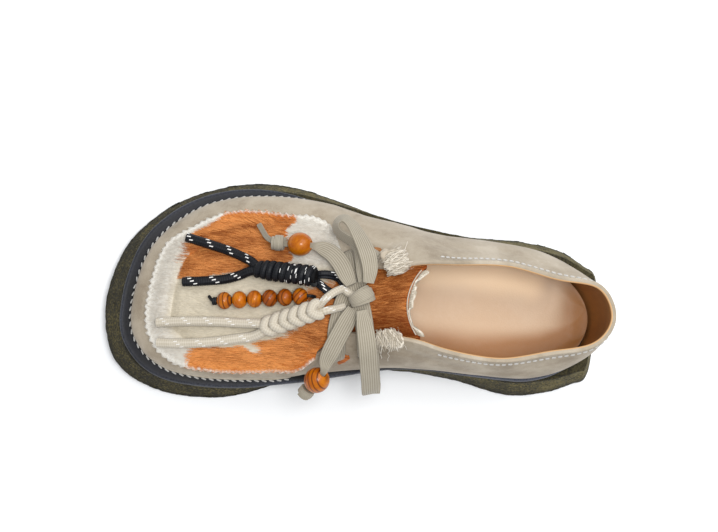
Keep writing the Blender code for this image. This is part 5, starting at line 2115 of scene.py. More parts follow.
class Patches:
    """The brown patches of the hide, charted in plan, in millimetres."""

    UPPER = (
        (-82.0, 36.0), (-88.1, 29.9), (-96.0, 25.2), (-98.9, 16.7), (-99.9, 10.9), (-101.0, 5.6),
        (-101.7, -1.5), (-91.3, -0.4), (-77.8, 3.1), (-63.2, 6.1), (-50.7, 8.4), (-41.8, 12.6),
        (-40.9, 15.0), (-43.3, 22.3), (-46.0, 31.0), (-41.2, 35.5), (-38.0, 48.0), (-82.0, 50.0),
    )
    LOWER = (
        (-88.6, -39.1), (-93.6, -49.4), (-94.0, -62.0), (-20.0, -62.0), (-8.0, -48.0), (-10.0, -14.0),
        (-16.0, -14.6), (-22.5, -16.0), (-30.9, -23.2), (-41.6, -29.7), (-53.4, -32.4), (-56.5, -33.8),
        (-52.2, -37.2), (-52.5, -39.4), (-60.0, -36.9),
    )
    REAR = (
        (-30.6, -8.0), (-30.9, -2.8), (-19.9, 0.9), (-9.7, 11.3), (-4.0, 22.0), (-4.0, 46.0), (50.0, 46.0),
        (50.0, -52.0), (-12.0, -52.0), (-22.5, -16.0),
    )
    PARTING = ((-98.0, 18.5), (-85.8, 24.2), (-72.3, 28.3), (-60.0, 30.6))

    @staticmethod
    def to_line(spots: Array, first: Array, last: Array) -> Array:
        """How far places in plan are from a straight line.

        Args:
            spots: Places in plan.
            first: One end of the line.
            last: The other end.

        Returns:
            One distance for each place.
        """
        run = last - first
        t = np.clip((spots - first) @ run / (run @ run), 0.0, 1.0)
        return np.linalg.norm(spots - first - t[:, None] * run, axis=1)

    def depth(self, spots: Array, outline: Sequence[tuple[float, float]]) -> Array:
        """How far places lie inside an outline; outside it is negative.

        Args:
            spots: Places in plan.
            outline: The outline's corners in plan.

        Returns:
            One depth for each place.
        """
        corners = np.array(outline)
        inside = np.zeros(len(spots), bool)
        gap = np.full(len(spots), np.inf)
        for first, last in zip(corners, np.roll(corners, -1, axis=0)):
            gap = np.minimum(gap, self.to_line(spots, first, last))
            spans = (first[1] > spots[:, 1]) != (last[1] > spots[:, 1])
            rise = last[1] - first[1] or 1e-9
            left = spots[:, 0] < first[0] + (spots[:, 1] - first[1]) / rise * (last[0] - first[0])
            inside ^= spans & left
        return np.where(inside, gap, -gap)

    def brown(self, points: Array) -> Array:
        """How deep in a brown patch each point is, in millimetres.

        Args:
            points: Points in millimetres.

        Returns:
            One depth for each point; outside the patches it is negative.
        """
        spots = np.reshape(points, (-1, 3))[:, :2]
        depths = [self.depth(spots, outline) for outline in (self.UPPER, self.LOWER, self.REAR)]
        return np.max(depths, axis=0).reshape(np.shape(points)[:-1])

    def tone(self, points: Array) -> Array:
        """Lighter and darker brown: a dark parting, with a paler band beyond it and a dark tongue.

        Args:
            points: Points in millimetres.

        Returns:
            What is added to the hair's tone at each point.
        """
        spots = np.reshape(points, (-1, 3))[:, :2]
        line = np.array(self.PARTING)
        gap = np.min([self.to_line(spots, a, b) for a, b in zip(line, line[1:])], axis=0)
        beyond = spots[:, 1] - np.interp(spots[:, 0], line[:, 0], line[:, 1])
        near = smooth_step(-spots[:, 0], 50.0, 62.0)
        tone = -0.16 * np.exp(-((gap / 1.5) ** 2))
        tone += 0.07 * near * smooth_step(beyond, 0.5, 3.0)
        tongue = smooth_step(spots[:, 0], -14.0, 4.0)
        tone -= tongue * (0.1 + 0.12 * smooth_step(-spots[:, 1], 2.0, 20.0))
        tone += 0.12 * smooth_step(-spots[:, 1], 28.0, 40.0) * smooth_step(-spots[:, 0], 24.0, 44.0)
        return tone.reshape(np.shape(points)[:-1])


@dataclass
class Apron:
    """The hair-on hide: an apron with a pinked edge over the toe, and the tongue behind it."""

    last: Last
    finishes: Finishes
    patches: Patches = field(default_factory=Patches)
    edge: Array = field(default_factory=lambda: np.zeros((1, 3)))
    row_step: float = 0.62
    lap_columns: int = 5
    field_columns: int = 46
    tooth_pitch: float = 3.7
    tooth_depth: float = 1.7
    tuck_v: float = 0.62
    corner: float = 0.045
    lap_ends: dict[Side, float] = field(
        default_factory=lambda: {Side.LATERAL: LAP_END, Side.MEDIAL: APRON_END}
    )
    lap_over: float = 1.07
    lap_rows: int = 27
    lap_levels: int = 7
    lap_thin: float = 0.5
    lap_look: dict[str, float] = field(default_factory=lambda: {"brown": -6.0, "pale": 1.0})
    dip_rows: int = 14
    tongue_rows: int = 44
    fold_place: float = 8.0
    fold_width: float = 4.2
    fold_rise: float = 1.4
    ridge_place: float = 13.0
    ridge_width: float = 3.2
    ridge_dip: float = 1.7
    fold_x: tuple[float, float] = (84.0, 98.0)
    band_reach: tuple[float, float] = (8.0, 14.0)
    hairs: int = 40000
    brown_long: float = 6.4
    cream_long: float = 2.4
    hair_wide: float = 0.17
    hair_sway: float = 0.24
    hair_stray: float = 0.1
    hair_spread: float = 0.005
    long_range: tuple[float, float] = (0.6, 1.15)
    rise_range: tuple[float, float] = (0.05, 0.13)
    wide_range: tuple[float, float] = (0.7, 1.2)
    hair_brown: tuple[Colour, Colour] = (tint(118, 54, 14), tint(226, 150, 84))
    hair_cream: tuple[Colour, Colour] = (tint(178, 168, 148), tint(210, 201, 182))
    hair_band: Colour = (0.0, 0.012, 0.05)
    strip_sides: tuple[float, ...] = (
        -0.9, -0.8, -0.71, -0.66, -0.24, -0.16, 0.1, 0.34, 0.41, 0.5, 0.57, 0.75, 0.9,
    )
    strip_wide: tuple[float, ...] = (3.8, 4.2, 3.2, 0.6, 0.6, 2.7, 3.2, 2.9, 1.4, 1.4, 3.4, 4.0, 3.6)
    strip_profile: tuple[tuple[float, float, float], ...] = (
        (0.0, HIDE_THICK - 0.5, -0.5), (0.2, HIDE_THICK - 0.4, -0.3), (0.4, HIDE_THICK - 0.1, 0.5),
        (0.6, HIDE_THICK - 0.2, 0.8), (0.85, HIDE_THICK - 0.6, 0.7), (1.0, HIDE_THICK - 1.1, 0.4),
        (0.9, HIDE_THICK - 1.6, 0.0), (0.5, -0.6, -0.4), (0.0, -0.5, -0.4),
    )
    strip_in: float = 0.3
    whip_from: float = 2.2
    whip_radius: float = 0.22
    seam_step: float = 0.6
    seam_radius: float = 0.34
    seam_sides: int = 8

    def build(self) -> list[Piece]:
        """Makes the hide, its hair and the tongue's bound end.

        Returns:
            The pieces.
        """
        hide = self.hide()
        lap = self.outer_lap()
        return [hide, lap, self.nap(hide, lap), self.tongue_end()]

    def front_rows(self) -> Array:
        """Shares of the length for rows evenly spaced along the apron's edge.

        Returns:
            The shares, from the toe to the apron's end.
        """
        fine = np.linspace(0.0, float(loop_angle(APRON_END)), 1500)
        lengths = run_lengths(self.last.hide_edge(fine, LAP_START_V)[0])
        count = int(lengths[-1] / self.row_step)
        return loop_along(np.interp(np.linspace(0, lengths[-1], count), lengths, fine))

    def lap_start(self, angles: Array, end: float) -> Array:
        """How far down the wall the pinked edge reaches.

        Args:
            angles: Angles round the outline.
            end: The share of the foot's length where the lap ends.

        Returns:
            The edge's share of the wall at each angle.
        """
        order = np.argsort(np.abs(angles))
        edge, _ = self.last.hide_edge(angles[order], LAP_START_V)
        lengths = np.empty(len(angles))
        lengths[order] = run_lengths(edge)
        tooth = 2.0 * np.abs((lengths / self.tooth_pitch) % 1.0 - 0.5)
        a_little = self.last.wall_point(angles, LAP_START_V - 0.02)
        at_edge = self.last.wall_point(angles, LAP_START_V)
        slope = np.linalg.norm(at_edge - a_little, axis=1)
        uneven = 1.0 + 0.32 * np.sin(lengths * 0.83) * np.sin(lengths * 0.31)
        start = LAP_START_V - 0.02 / slope * self.tooth_depth * tooth * uneven
        closing = smooth_step(loop_along(angles), end - self.corner, end)
        return start + (0.98 - start) * closing

    def row_points(self, alongs: Array, lap_v: dict[Side, Array], reach: Array) -> Array:
        """Rows of the hide's underside across the foot, from the lateral edge to the medial one.

        Args:
            alongs: The rows' shares of the foot's length.
            lap_v: Where the lap starts on the wall, for each side and row.
            reach: How much of the way across each row goes.

        Returns:
            Rows of points.
        """
        blocks = []
        shares = np.linspace(0.0, 1.0, self.lap_columns + 1)[:-1]
        for side in Side:
            angles = side.value * loop_angle(alongs)
            start = lap_v[side]
            columns = [self.last.hide_edge(angles, start + (1.0 - start) * share)[0] for share in shares]
            blocks.append(np.stack(columns, axis=1))
        notch = TONGUE_NOTCH * smooth_step(alongs, TUCK_START, TONGUE_END)
        fields = []
        for share in np.linspace(1.0, -1.0, self.field_columns + 1):
            side = share * reach
            fields.append(self.last.hide_point(alongs - notch * (1 - side**2), side))
        return np.concatenate([blocks[0], np.stack(fields, axis=1), blocks[1][:, ::-1]], axis=1)

    def hide(self) -> Piece:
        """The hide as one sheet of leather with its real thickness.

        Returns:
            The hide.
        """
        front = self.front_rows()
        dip = np.linspace(APRON_END, TUCK_START, self.dip_rows)[1:-1]
        tongue = np.linspace(TUCK_START, TONGUE_END, self.tongue_rows)
        alongs = np.concatenate([front, dip, tongue])
        in_front = alongs <= APRON_END
        lap_v = {}
        for side in Side:
            starts = np.full(len(alongs), self.tuck_v)
            starts[in_front] = self.lap_start(side.value * loop_angle(front), self.lap_ends[side])
            lap_v[side] = starts
        dipped = (alongs > APRON_END) & (alongs < TUCK_START)
        reach = np.where(dipped, DIP_INSET, 1.0)
        rows = self.row_points(alongs, lap_v, reach)
        skin = Skin()
        brown = self.patches.brown(rows)
        self.edge = np.concatenate([rows[in_front][:, 0], rows[in_front][:, -1]])
        from_edge = self.to_edge(rows.reshape(-1, 3)).reshape(rows.shape[:2])
        toe = smooth_step(-rows[..., 0], *self.fold_x)
        pale = smooth_step(-brown, -2.0, 2.0)
        raw = (1.0 - smooth_step(from_edge, 0.5 + 0.7 * pale, 1.6 + 1.8 * pale)) * in_front[:, None]
        fold = toe * (
            self.fold_rise * bell(from_edge, self.fold_place, self.fold_width)
            - self.ridge_dip * bell(from_edge, self.ridge_place, self.ridge_width)
        )
        fold = fold + 0.35 * Lumps(21)(rows, 17.0) * smooth_step(from_edge, 1.0, 8.0) * in_front[:, None]
        rows[..., 2] += np.where(np.arange(rows.shape[1]) % (rows.shape[1] - 1) == 0, 0.0, fold)
        rim = 1.0 - smooth_step(from_edge, *self.band_reach)
        band = np.maximum(rim, smooth_step(rows[..., 1], *self.band_reach))
        ids = skin.add_points(rows, brown=brown, raw=raw, pale=pale * band, tone=self.patches.tone(rows))
        lap = self.lap_columns
        first_dip = int(in_front.sum())
        last_dip = first_dip + len(dip)
        skin.weave(ids[:, lap:-lap])
        for block in (ids[:first_dip], ids[last_dip:]):
            skin.weave(block[:, : lap + 1])
            skin.weave(block[:, -lap - 1 :])
        hide = skin.make("hide_apron", [self.finishes.hide], weld=0.02)
        self.drop_loose(hide)
        wall = hide.modifiers.new("wall", "SOLIDIFY")
        wall.thickness = HIDE_THICK * MM
        wall.offset = 1.0 if self.faces_up(hide) else -1.0
        applied(hide)
        return settle(hide, Slot.HIDE, "apron_tongue")

    def outer_lap(self) -> Piece:
        """The end of the apron's pinked lap, which thins out over the outer facing.

        Returns:
            The lap's end.
        """
        behind = np.linspace(APRON_END, LAP_END, self.lap_rows - 1)[1:]
        angles = Side.LATERAL.value * loop_angle(np.concatenate([self.front_rows(), behind]))
        starts = self.lap_start(angles, LAP_END)[-self.lap_rows :]
        angles = angles[-self.lap_rows :]
        fade = 1.0 - smooth_step(loop_along(angles), APRON_END, LAP_END)
        thick = GAP + self.lap_thin + (HIDE_THICK - self.lap_thin) * fade
        shares = np.linspace(0.0, 1.0, self.lap_levels)
        columns = []
        for rise, levels in ((thick, shares), (np.full(self.lap_rows, 0.1), shares[::-1])):
            for level in levels:
                v = starts + (self.lap_over - starts) * level
                columns.append(
                    moved(self.last.wall_point(angles, v), (self.last.wall_normal(angles, v), rise))
                )
        rows = np.stack(columns, axis=1)
        skin = Skin()
        ids = skin.grid(rows, close_columns=True, **self.lap_look)
        skin.close_ends(ids, rows[[0, -1]].mean(axis=1), **self.lap_look)
        return settle(skin.make("hide_lap_end", [self.finishes.hide]), Slot.HIDE)

    def to_edge(self, points: Array) -> Array:
        """How far points are, in plan, from the apron's pinked edge.

        Args:
            points: Points in millimetres.

        Returns:
            One distance for each point.
        """
        edge = self.edge[::3, :2]
        parts = [
            np.sqrt(((part[:, None, :2] - edge[None]) ** 2).sum(axis=2)).min(axis=1)
            for part in np.array_split(points, max(1, len(points) // 2000))
        ]
        return np.concatenate(parts)

    @staticmethod
    def faces_up(obj: Piece) -> bool:
        """Whether a sheet's faces look up on the whole."""
        return sum(face.normal.z * face.area for face in obj.data.polygons) > 0

    @staticmethod
    def drop_loose(obj: Piece) -> None:
        """Removes points that no face uses.

        Args:
            obj: The sheet, which is changed.
        """
        bm = bmesh.new()
        bm.from_mesh(obj.data)
        bmesh.ops.delete(bm, geom=[v for v in bm.verts if not v.link_faces], context="VERTS")
        bm.to_mesh(obj.data)
        bm.free()

    def roots(self, rng: np.random.Generator, hides: Sequence[Piece]) -> tuple[Array, Array]:
        """Places for the hairs, spread evenly over what shows of the hide.

        Args:
            rng: What the places are drawn from.
            hides: The pieces that grow hair.

        Returns:
            The places, and the directions out of the hide there.
        """
        corners = []
        for mesh in (hide.data for hide in hides):
            mesh.calc_loop_triangles()
            corners += [[mesh.vertices[i].co for i in t.vertices] for t in mesh.loop_triangles]
        corners = np.array(corners) / MM
        cross = np.cross(corners[:, 1] - corners[:, 0], corners[:, 2] - corners[:, 0])
        normals = unit(cross)
        centre_x = corners[:, :, 0].mean(axis=1)
        under_bow = (centre_x >= -10.0) & (centre_x <= 0.0)
        shows = (normals[:, 2] > 0.35) & (normals[:, 0] < 0.4) & ~under_bow
        area = np.linalg.norm(cross, axis=1) * shows
        chosen = rng.choice(len(area), self.hairs, p=area / area.sum())
        u, v = rng.random((2, self.hairs, 1))
        u, v = np.where(u + v > 1, 1 - u, u), np.where(u + v > 1, 1 - v, v)
        base = corners[chosen]
        roots = base[:, 0] + u * (base[:, 1] - base[:, 0]) + v * (base[:, 2] - base[:, 0])
        return roots, normals[chosen]

    def nap(self, *hides: Piece) -> Piece:
        """Short hairs that lie along the hide, in its own colours.

        Args:
            hides: The pieces that grow hair.

        Returns:
            The hairs, as one piece.
        """
        rng = np.random.default_rng(7)
        roots, normal = self.roots(rng, hides)
        turn = self.hair_sway * Lumps(23)(roots, 15.0) + rng.normal(0.0, self.hair_stray, self.hairs)
        turn = turn + self.hair_spread * (roots[:, 1] + 8.0)
        flow = np.stack([-np.cos(turn), np.sin(turn), np.zeros(self.hairs)], axis=1)
        flow = unit(flow - normal * np.sum(flow * normal, axis=1, keepdims=True))
        flat = np.cross(normal, flow)
        ragged = 1.6 * Lumps(24)(roots, 3.0)
        is_brown = (self.patches.brown(roots) + ragged > 0)[:, None]
        from_edge = self.to_edge(roots)[:, None]
        each = (self.hairs, 1)
        long = np.where(is_brown, self.brown_long, self.cream_long) * rng.uniform(*self.long_range, each)
        long = np.minimum(long, 0.15 + 0.8 * from_edge)
        rise = rng.uniform(*self.rise_range, each)
        wide = self.hair_wide * rng.uniform(*self.wide_range, each)
        middle = roots + flow * long * 0.5 + normal * long * rise * 0.62
        tip = roots + flow * long + normal * long * rise * 0.55
        foot, waist = flat * wide / 2, flat * wide * 0.42
        blades = np.stack([roots - foot, roots + foot, middle + waist, middle - waist, tip], axis=1)
        locks = 0.26 * Lumps(25)(roots * np.array([0.16, 1.0, 1.0]), 2.6)
        shade = 0.5 + 0.26 * rng.normal(size=self.hairs) + locks + 2.2 * self.patches.tone(roots)
        shade = np.clip(shade, 0.0, 1.0)[:, None]
        brown, cream = (
            np.array(dark) * (1 - shade) + np.array(light) * shade
            for dark, light in (self.hair_brown, self.hair_cream)
        )
        rim = 1.0 - smooth_step(from_edge, *self.band_reach)
        band = rim + smooth_step(roots[:, 1:2], *self.band_reach)
        cream = cream + np.array(self.hair_band) * np.clip(band, 0.0, 1.0)
        colour = np.where(is_brown, brown, cream)
        skin = Skin()
        ids = skin.add_points(blades, tint=np.repeat(colour[:, None], blades.shape[1], axis=1))
        skin.add_faces(ids[:, :4])
        skin.add_faces(ids[:, [3, 2, 4]])
        return settle(skin.make("hide_nap", [self.finishes.hair], weld=0.0), Slot.HIDE)

    def tongue_end(self) -> Piece:
        """A strip of raw canvas whipped over the hollow end of the tongue.

        Returns:
            The strip with its stitches and its seam.
        """
        sides = np.linspace(0.82, -0.9, 130)
        ends = TONGUE_END - TONGUE_NOTCH * (1 - sides**2)
        line = self.last.hide_point(ends, sides)
        out = unit(self.last.hide_point(ends + 0.004, sides) - line)
        across = unit(np.gradient(line, axis=0))
        normal = unit(np.cross(across, out))
        normal *= np.sign(normal[:, 2:3])
        lumps = Lumps(31)
        wide = np.interp(sides, self.strip_sides, self.strip_wide) * (1.0 + 0.22 * lumps(line * 2.0, 4.0))
        columns = [
            moved(line, (out, share * wide - self.strip_in), (normal, rise))
            for share, rise, _ in self.strip_profile
        ]
        rows = np.stack(columns, axis=1)
        rows += (0.25 * lumps(rows, 2.2))[..., None] * normal[:, None]
        skin = Skin()
        # Painted shade on the strip's sides and underside, lighter on its crest.
        crowns = np.array([crown for _, _, crown in self.strip_profile])
        ids = skin.grid(rows, close_columns=True, crown=0.7 * crowns + 0.5 * lumps(rows, 1.4))
        skin.close_ends(ids, rows[[0, -1]].mean(axis=1), crown=0.5)
        pick = np.flatnonzero(wide > self.whip_from)[1:-2:3]
        starts = moved(line[pick], (out[pick], self.strip_in), (normal[pick], HIDE_THICK - 0.2))
        stops = moved(line[pick + 1], (out[pick], 0.7 * wide[pick]), (normal[pick], HIDE_THICK - 0.15))
        add_capsules(skin, starts, stops, self.whip_radius)
        seam = Run(smooth_run((line - out * 0.5 + normal * (HIDE_THICK + 0.25))[::6], self.seam_step))
        seam.tube(skin, np.full((len(seam.path), self.seam_sides), self.seam_radius), crown=0.3)
        return settle(skin.make("tongue_binding", [self.finishes.cotton]), Slot.COTTON)


class Wrap(NamedTuple):
    """One wrap of the bow's knot: its heading in degrees, half its size, its shift and its width."""

    heading: float
    reach: float
    rise: float
    shift: float
    width: float


@dataclass
class Lace:
    """The flat ribbed lace: its crossing, the bow and the two ends."""

    ground: Ground
    finishes: Finishes
    width: float = 10.0
    thick: float = 1.4
    across: int = 33
    step: float = 0.8
    drape: float = 0.6
    weft: float = 1.1
    steep: float = 0.2
    roll_passes: int = 60
    drape_passes: int = 400
    dive_rises: tuple[float, float, float] = (0.9, -1.6, -4.0)
    dive_widths: tuple[float, float, float] = (5.2, 3.6, 3.4)
    bead_width: float = 3.4
    tip_width: float = 3.0
    tip_radius: float = 1.45
    rolled_thick: float = 2.7
    narrow: tuple[float, float] = (2.9, 3.2)
    wraps: tuple[Wrap, ...] = (
        Wrap(33.0, 6.3, 5.0, 0.4, 6.6),
        Wrap(25.0, 6.1, 4.4, -1.9, 5.0),
        Wrap(40.0, 5.8, 4.2, 2.2, 4.6),
    )
    stop_turns: float = 2.9
    stop_reach: float = 2.9
    stop_width: float = 3.1

    def level_sides(self, along: Array) -> Array:
        """Level directions across a ribbon, kept on the same side where it folds back.

        Args:
            along: The line's directions.

        Returns:
            One direction for each point of the line.
        """
        sides: list[Array] = []
        for direction in along:
            side = np.cross(direction, UP)
            if np.linalg.norm(side) < self.steep and sides:
                side = sides[-1]
            side = unit(side)
            if sides and side @ sides[-1] < 0:
                side = -side
            sides.append(side)
        return np.array(sides)

    def ribbon(
        self, skin: Skin, centre: Array, across: Array, width: Array, thick: Array, ribs: int = 8
    ) -> None:
        """Adds a ribbed ribbon.

        Args:
            skin: The mesh that it joins.
            centre: Its middle line.
            across: Directions across it.
            width: Its width at each point.
            thick: Its thickness at each point.
            ribs: How many ribs run along it.
        """
        along = unit(np.gradient(centre, axis=0))
        normal = unit(np.cross(along, across))
        u = np.linspace(-1.0, 1.0, self.across)
        rib = 0.5 - 0.5 * np.cos(math.tau * ribs * (u + 1.0) / 2.0)
        edge = (1.0 - np.abs(u) ** 10) ** 0.5
        height = edge * (0.81 + 0.19 * rib)
        weft = 1.0 + 0.05 * np.sin(run_lengths(centre) * math.tau / self.weft)
        rise = height[None] * (thick * weft)[:, None] / 2
        flat = centre[:, None] + across[:, None] * (u[None] * width[:, None] / 2)[..., None]
        top = flat + normal[:, None] * rise[..., None]
        under = (flat - normal[:, None] * rise[..., None])[:, ::-1]
        # Painted shade in the grooves between the ribs and towards the ribbon's edges.
        crown = np.concatenate([rib * edge, (rib * edge)[::-1]])
        rows = np.concatenate([top, under], axis=1)
        ids = skin.grid(rows, close_columns=True, crown=np.broadcast_to(crown, rows.shape[:2]))
        skin.close_ends(ids, centre[[0, -1]], crown=0.4)

    def rolled(self, run: Array) -> Array:
        """Directions across a bow's ribbon, rolled as its places say.

        Args:
            run: Rows of place, width and roll.

        Returns:
            One direction for each point of the line.
        """
        along = unit(np.gradient(run[:, :3], axis=0))
        side = self.level_sides(along)
        for _ in range(self.roll_passes):
            side[1:-1] = (side[:-2] + 2 * side[1:-1] + side[2:]) / 4
        side = unit(side - along * np.sum(side * along, axis=1, keepdims=True))
        roll = np.radians(run[:, 4:5])
        return side * np.cos(roll) + np.cross(along, side) * np.sin(roll)

    def build(self) -> list[Piece]:
        """Makes the lace."""
        crossing, knot = self.crossing(), self.knot()
        return [crossing, knot, *self.loops(), *self.ends()]

    def crossing(self) -> Piece:
        """Two strips that cross the tongue and go down through the eyelets.

        Returns:
            Both strips, as one piece.
        """
        skin = Skin()
        strips = (
            (CROSSING_UNDER, EYELETS["front_medial"], EYELETS["rear_lateral"]),
            (CROSSING_OVER, EYELETS["front_lateral"], EYELETS["rear_medial"]),
        )
        for rows, first, last in strips:
            run = smooth_run(rows, self.step)
            flat = np.column_stack([run[:, :2], np.zeros(len(run))])
            side = self.level_sides(unit(np.gradient(flat, axis=0)))
            heights = []
            for share in (-1.0, -0.5, 0.0, 0.5, 1.0):
                spots = flat + side * self.width / 2 * share
                heights.append([self.ground.z(x, y) for x, y in spots[:, :2]])
            z = np.max(heights, axis=0)
            for _ in range(self.drape_passes):
                z[1:-1] = np.maximum(z[1:-1], (z[:-2] + z[2:]) / 2)
            centre = flat.copy()
            centre[:, 2] = z + self.drape + self.thick / 2 + run[:, 2]
            path, width = self.into_eyelets(centre, first, last)
            across = self.level_sides(unit(np.gradient(path, axis=0)))
            self.ribbon(skin, path, across, width, np.full(len(path), self.thick))
        return settle(skin.make("lace_crossed", [self.finishes.lace]), Slot.LACE, "lace_crossing")

    def into_eyelets(self, centre: Array, first: Eyelet, last: Eyelet) -> tuple[Array, Array]:
        """Leads both ends of a strip down through its eyelets.

        Args:
            centre: The strip's middle line over the tongue.
            first: The eyelet at its start.
            last: The eyelet at its end.

        Returns:
            The path, and its widths.
        """
        keep = centre[4:-4:4]
        path = np.array([*reversed(self.dive(first)), *keep, *self.dive(last)])
        widths = np.array([*self.dive_widths[::-1], *[self.width] * len(keep), *self.dive_widths])
        run = smooth_run(np.column_stack([path, widths]), self.step)
        return run[:, :3], np.clip(run[:, 3], self.narrow[1], self.width)

    def dive(self, eyelet: Eyelet) -> list[Array]:
        """Places where a strip bends down into an eyelet."""
        top = self.ground.z(eyelet.x, eyelet.y)
        return [np.array([eyelet.x, eyelet.y, top + rise]) for rise in self.dive_rises]

    def knot(self) -> Piece:
        """The bow's knot: the lace wound round the place where its strands meet.

        Returns:
            The knot.
        """
        centre = centre_of("lace_knot")
        skin = Skin()
        for wrap in self.wraps:
            turn = math.radians(wrap.heading)
            ahead = np.array([math.cos(turn), math.sin(turn), 0.0])
            axis = np.array([-math.sin(turn), math.cos(turn), 0.0])
            around = np.linspace(-0.22, 1.22, 50) * math.pi
            path = moved(
                centre,
                (axis, wrap.shift),
                (ahead, wrap.reach * np.cos(around)),
                (UP, wrap.rise * np.sin(around) - 0.6),
            )
            across = np.broadcast_to(axis, path.shape)
            pinch = 0.62 + 0.38 * np.clip(np.sin(around), 0.0, 1.0)
            self.ribbon(skin, path, across, wrap.width * pinch, np.full(len(path), self.thick * 1.15))
        return settle(skin.make("lace_knot_wraps", [self.finishes.lace]), Slot.LACE, "lace_knot")

    def loops(self) -> list[Piece]:
        """The bow's two loops, which come out of its knot.


        Returns:
            The loops.
        """
        made = []
        for name, rows in (("lace_loop_lateral", LOOP_LATERAL), ("lace_loop_medial", LOOP_MEDIAL)):
            run = smooth_run(rows, self.step)
            skin = Skin()
            thick = np.full(len(run), self.thick)
            self.ribbon(skin, run[:, :3], self.rolled(run), run[:, 3], thick)
            loop = settle(skin.make(f"{name}_ribbon", [self.finishes.lace]), Slot.LACE, name)
            self.declare(run[:, :3])
            made.append(loop)
        return made

    def ends(self) -> list[Piece]:
        """The lace's ends, which go through a big bead into a stop knot.

        Returns:
            The ends and their stop knots.
        """
        made = []
        tip = self.ground.route(LACE_TIP, self.tip_radius)
        for side, rows, tail in (("lateral", END_LATERAL, tip), ("medial", END_MEDIAL, ())):
            bead, stop = centre_of(f"bead_end_{side}"), centre_of(f"knot_end_{side}")
            through = [(*place, self.bead_width, 0.0) for place in (bead, stop)]
            through += [(*place, self.tip_width, 0.0) for place in tail]
            run = smooth_run([*rows, *through], self.step)
            run[:, 3] = np.clip(run[:, 3], self.narrow[0], self.width)
            rolled = smooth_step(-run[:, 3], -8.0, -self.bead_width)
            thick = self.thick + (self.rolled_thick - self.thick) * rolled
            skin = Skin()
            self.ribbon(skin, run[:, :3], self.rolled(run), run[:, 3], thick)
            nodes = [f"lace_end_{side}"] + (["lace_tip_lateral"] if len(tail) else [])
            end = settle(skin.make(f"lace_end_{side}_ribbon", [self.finishes.lace]), Slot.LACE, *nodes)
            knot = self.stop_knot(side, stop, bead)
            self.declare(run[:, :3])
            made += [end, knot]
        return made

    def stop_knot(self, side: str, stop: Array, bead: Array) -> Piece:
        """The overhand knot that holds a bead: the lace wound twice round itself.

        Args:
            side: The end's side of the foot.
            stop: The knot's middle.
            bead: The bead's middle.

        Returns:
            The knot.
        """
        axis = unit(stop - bead)
        turns = np.linspace(0.0, self.stop_turns * math.tau, 130)
        first = unit(np.cross(axis, UP + 0.3))
        second = np.cross(axis, first)
        shift = np.linspace(-self.stop_reach, self.stop_reach, len(turns))
        radius = 2.5 + 0.9 * np.cos(shift * 0.5)
        path = moved(
            stop,
            (axis, shift + 0.8 * np.sin(turns)),
            (first, radius * np.cos(turns)),
            (second, radius * np.sin(turns)),
        )
        slant = unit(np.broadcast_to(axis, path.shape) + 0.3 * np.gradient(path, axis=0))
        skin = Skin()
        wraps = np.full(len(path), self.stop_width)
        self.ribbon(skin, path, slant, wraps, wraps * 0.68, 4)
        return settle(skin.make(f"stop_knot_{side}", [self.finishes.lace]), Slot.LACE, f"knot_end_{side}")

    def declare(self, path: Array) -> None:
        """Passes a ribbon's path and the lace's width to declare_cord()."""
        declare_cord(path, self.width)


@dataclass
class Braid:
    """A braided cord with its relief and its flecks."""

    diameter: float
    strands: int = 8
    lay_length: float = 5.2
    relief: float = 0.05
    around: int = 26
    step: float = 0.42

    def skin_over(self, skin: Skin, path: Array) -> Run:
        """Adds the braid along a path.

        Args:
            skin: The mesh that it joins.
            path: The points of its line.

        Returns:
            The braid's line.
        """
        run = Run(smooth_run(path, self.step))
        turn = full_turn(self.around)[None]
        phase = run.lengths[:, None] * math.tau / self.lay_length
        half = self.strands / 2
        weave = np.sin(half * turn + phase * half / 2) * np.sin(half * turn - phase * half / 2)
        radius = self.diameter / 2 * (1.0 + self.relief * (weave - 0.6))
        # Painted shade between the strands.
        run.tube(skin, radius, crown=0.5 + 0.5 * weave)
        return run

    def add_flecks(self, skin: Skin, run: Run, spots: Array, long: float, wide: float) -> None:
        """Adds flecks of pale yarn, in the mesh's second material.

        Args:
            skin: The mesh that it joins.
            run: The braid's line.
            spots: Rows of distance along the line and angle round it.
            long: The length of a fleck.
            wide: Its width.
        """
        grid_s, grid_t = np.meshgrid(np.linspace(-0.5, 0.5, 5), np.linspace(-0.5, 0.5, 4), indexing="ij")
        radius = self.diameter / 2
        swell = 0.10 * radius * (1.0 - (2 * grid_t) ** 2) * (1.0 - (2 * grid_s) ** 4)
        for distance, turn in spots:
            around = turn + grid_t * wide / radius + 0.12 * grid_s * long / radius
            place = run.spot(distance + grid_s * long, around, radius * 0.985 + swell)
            skin.grid(place, 1, crown=0.8)


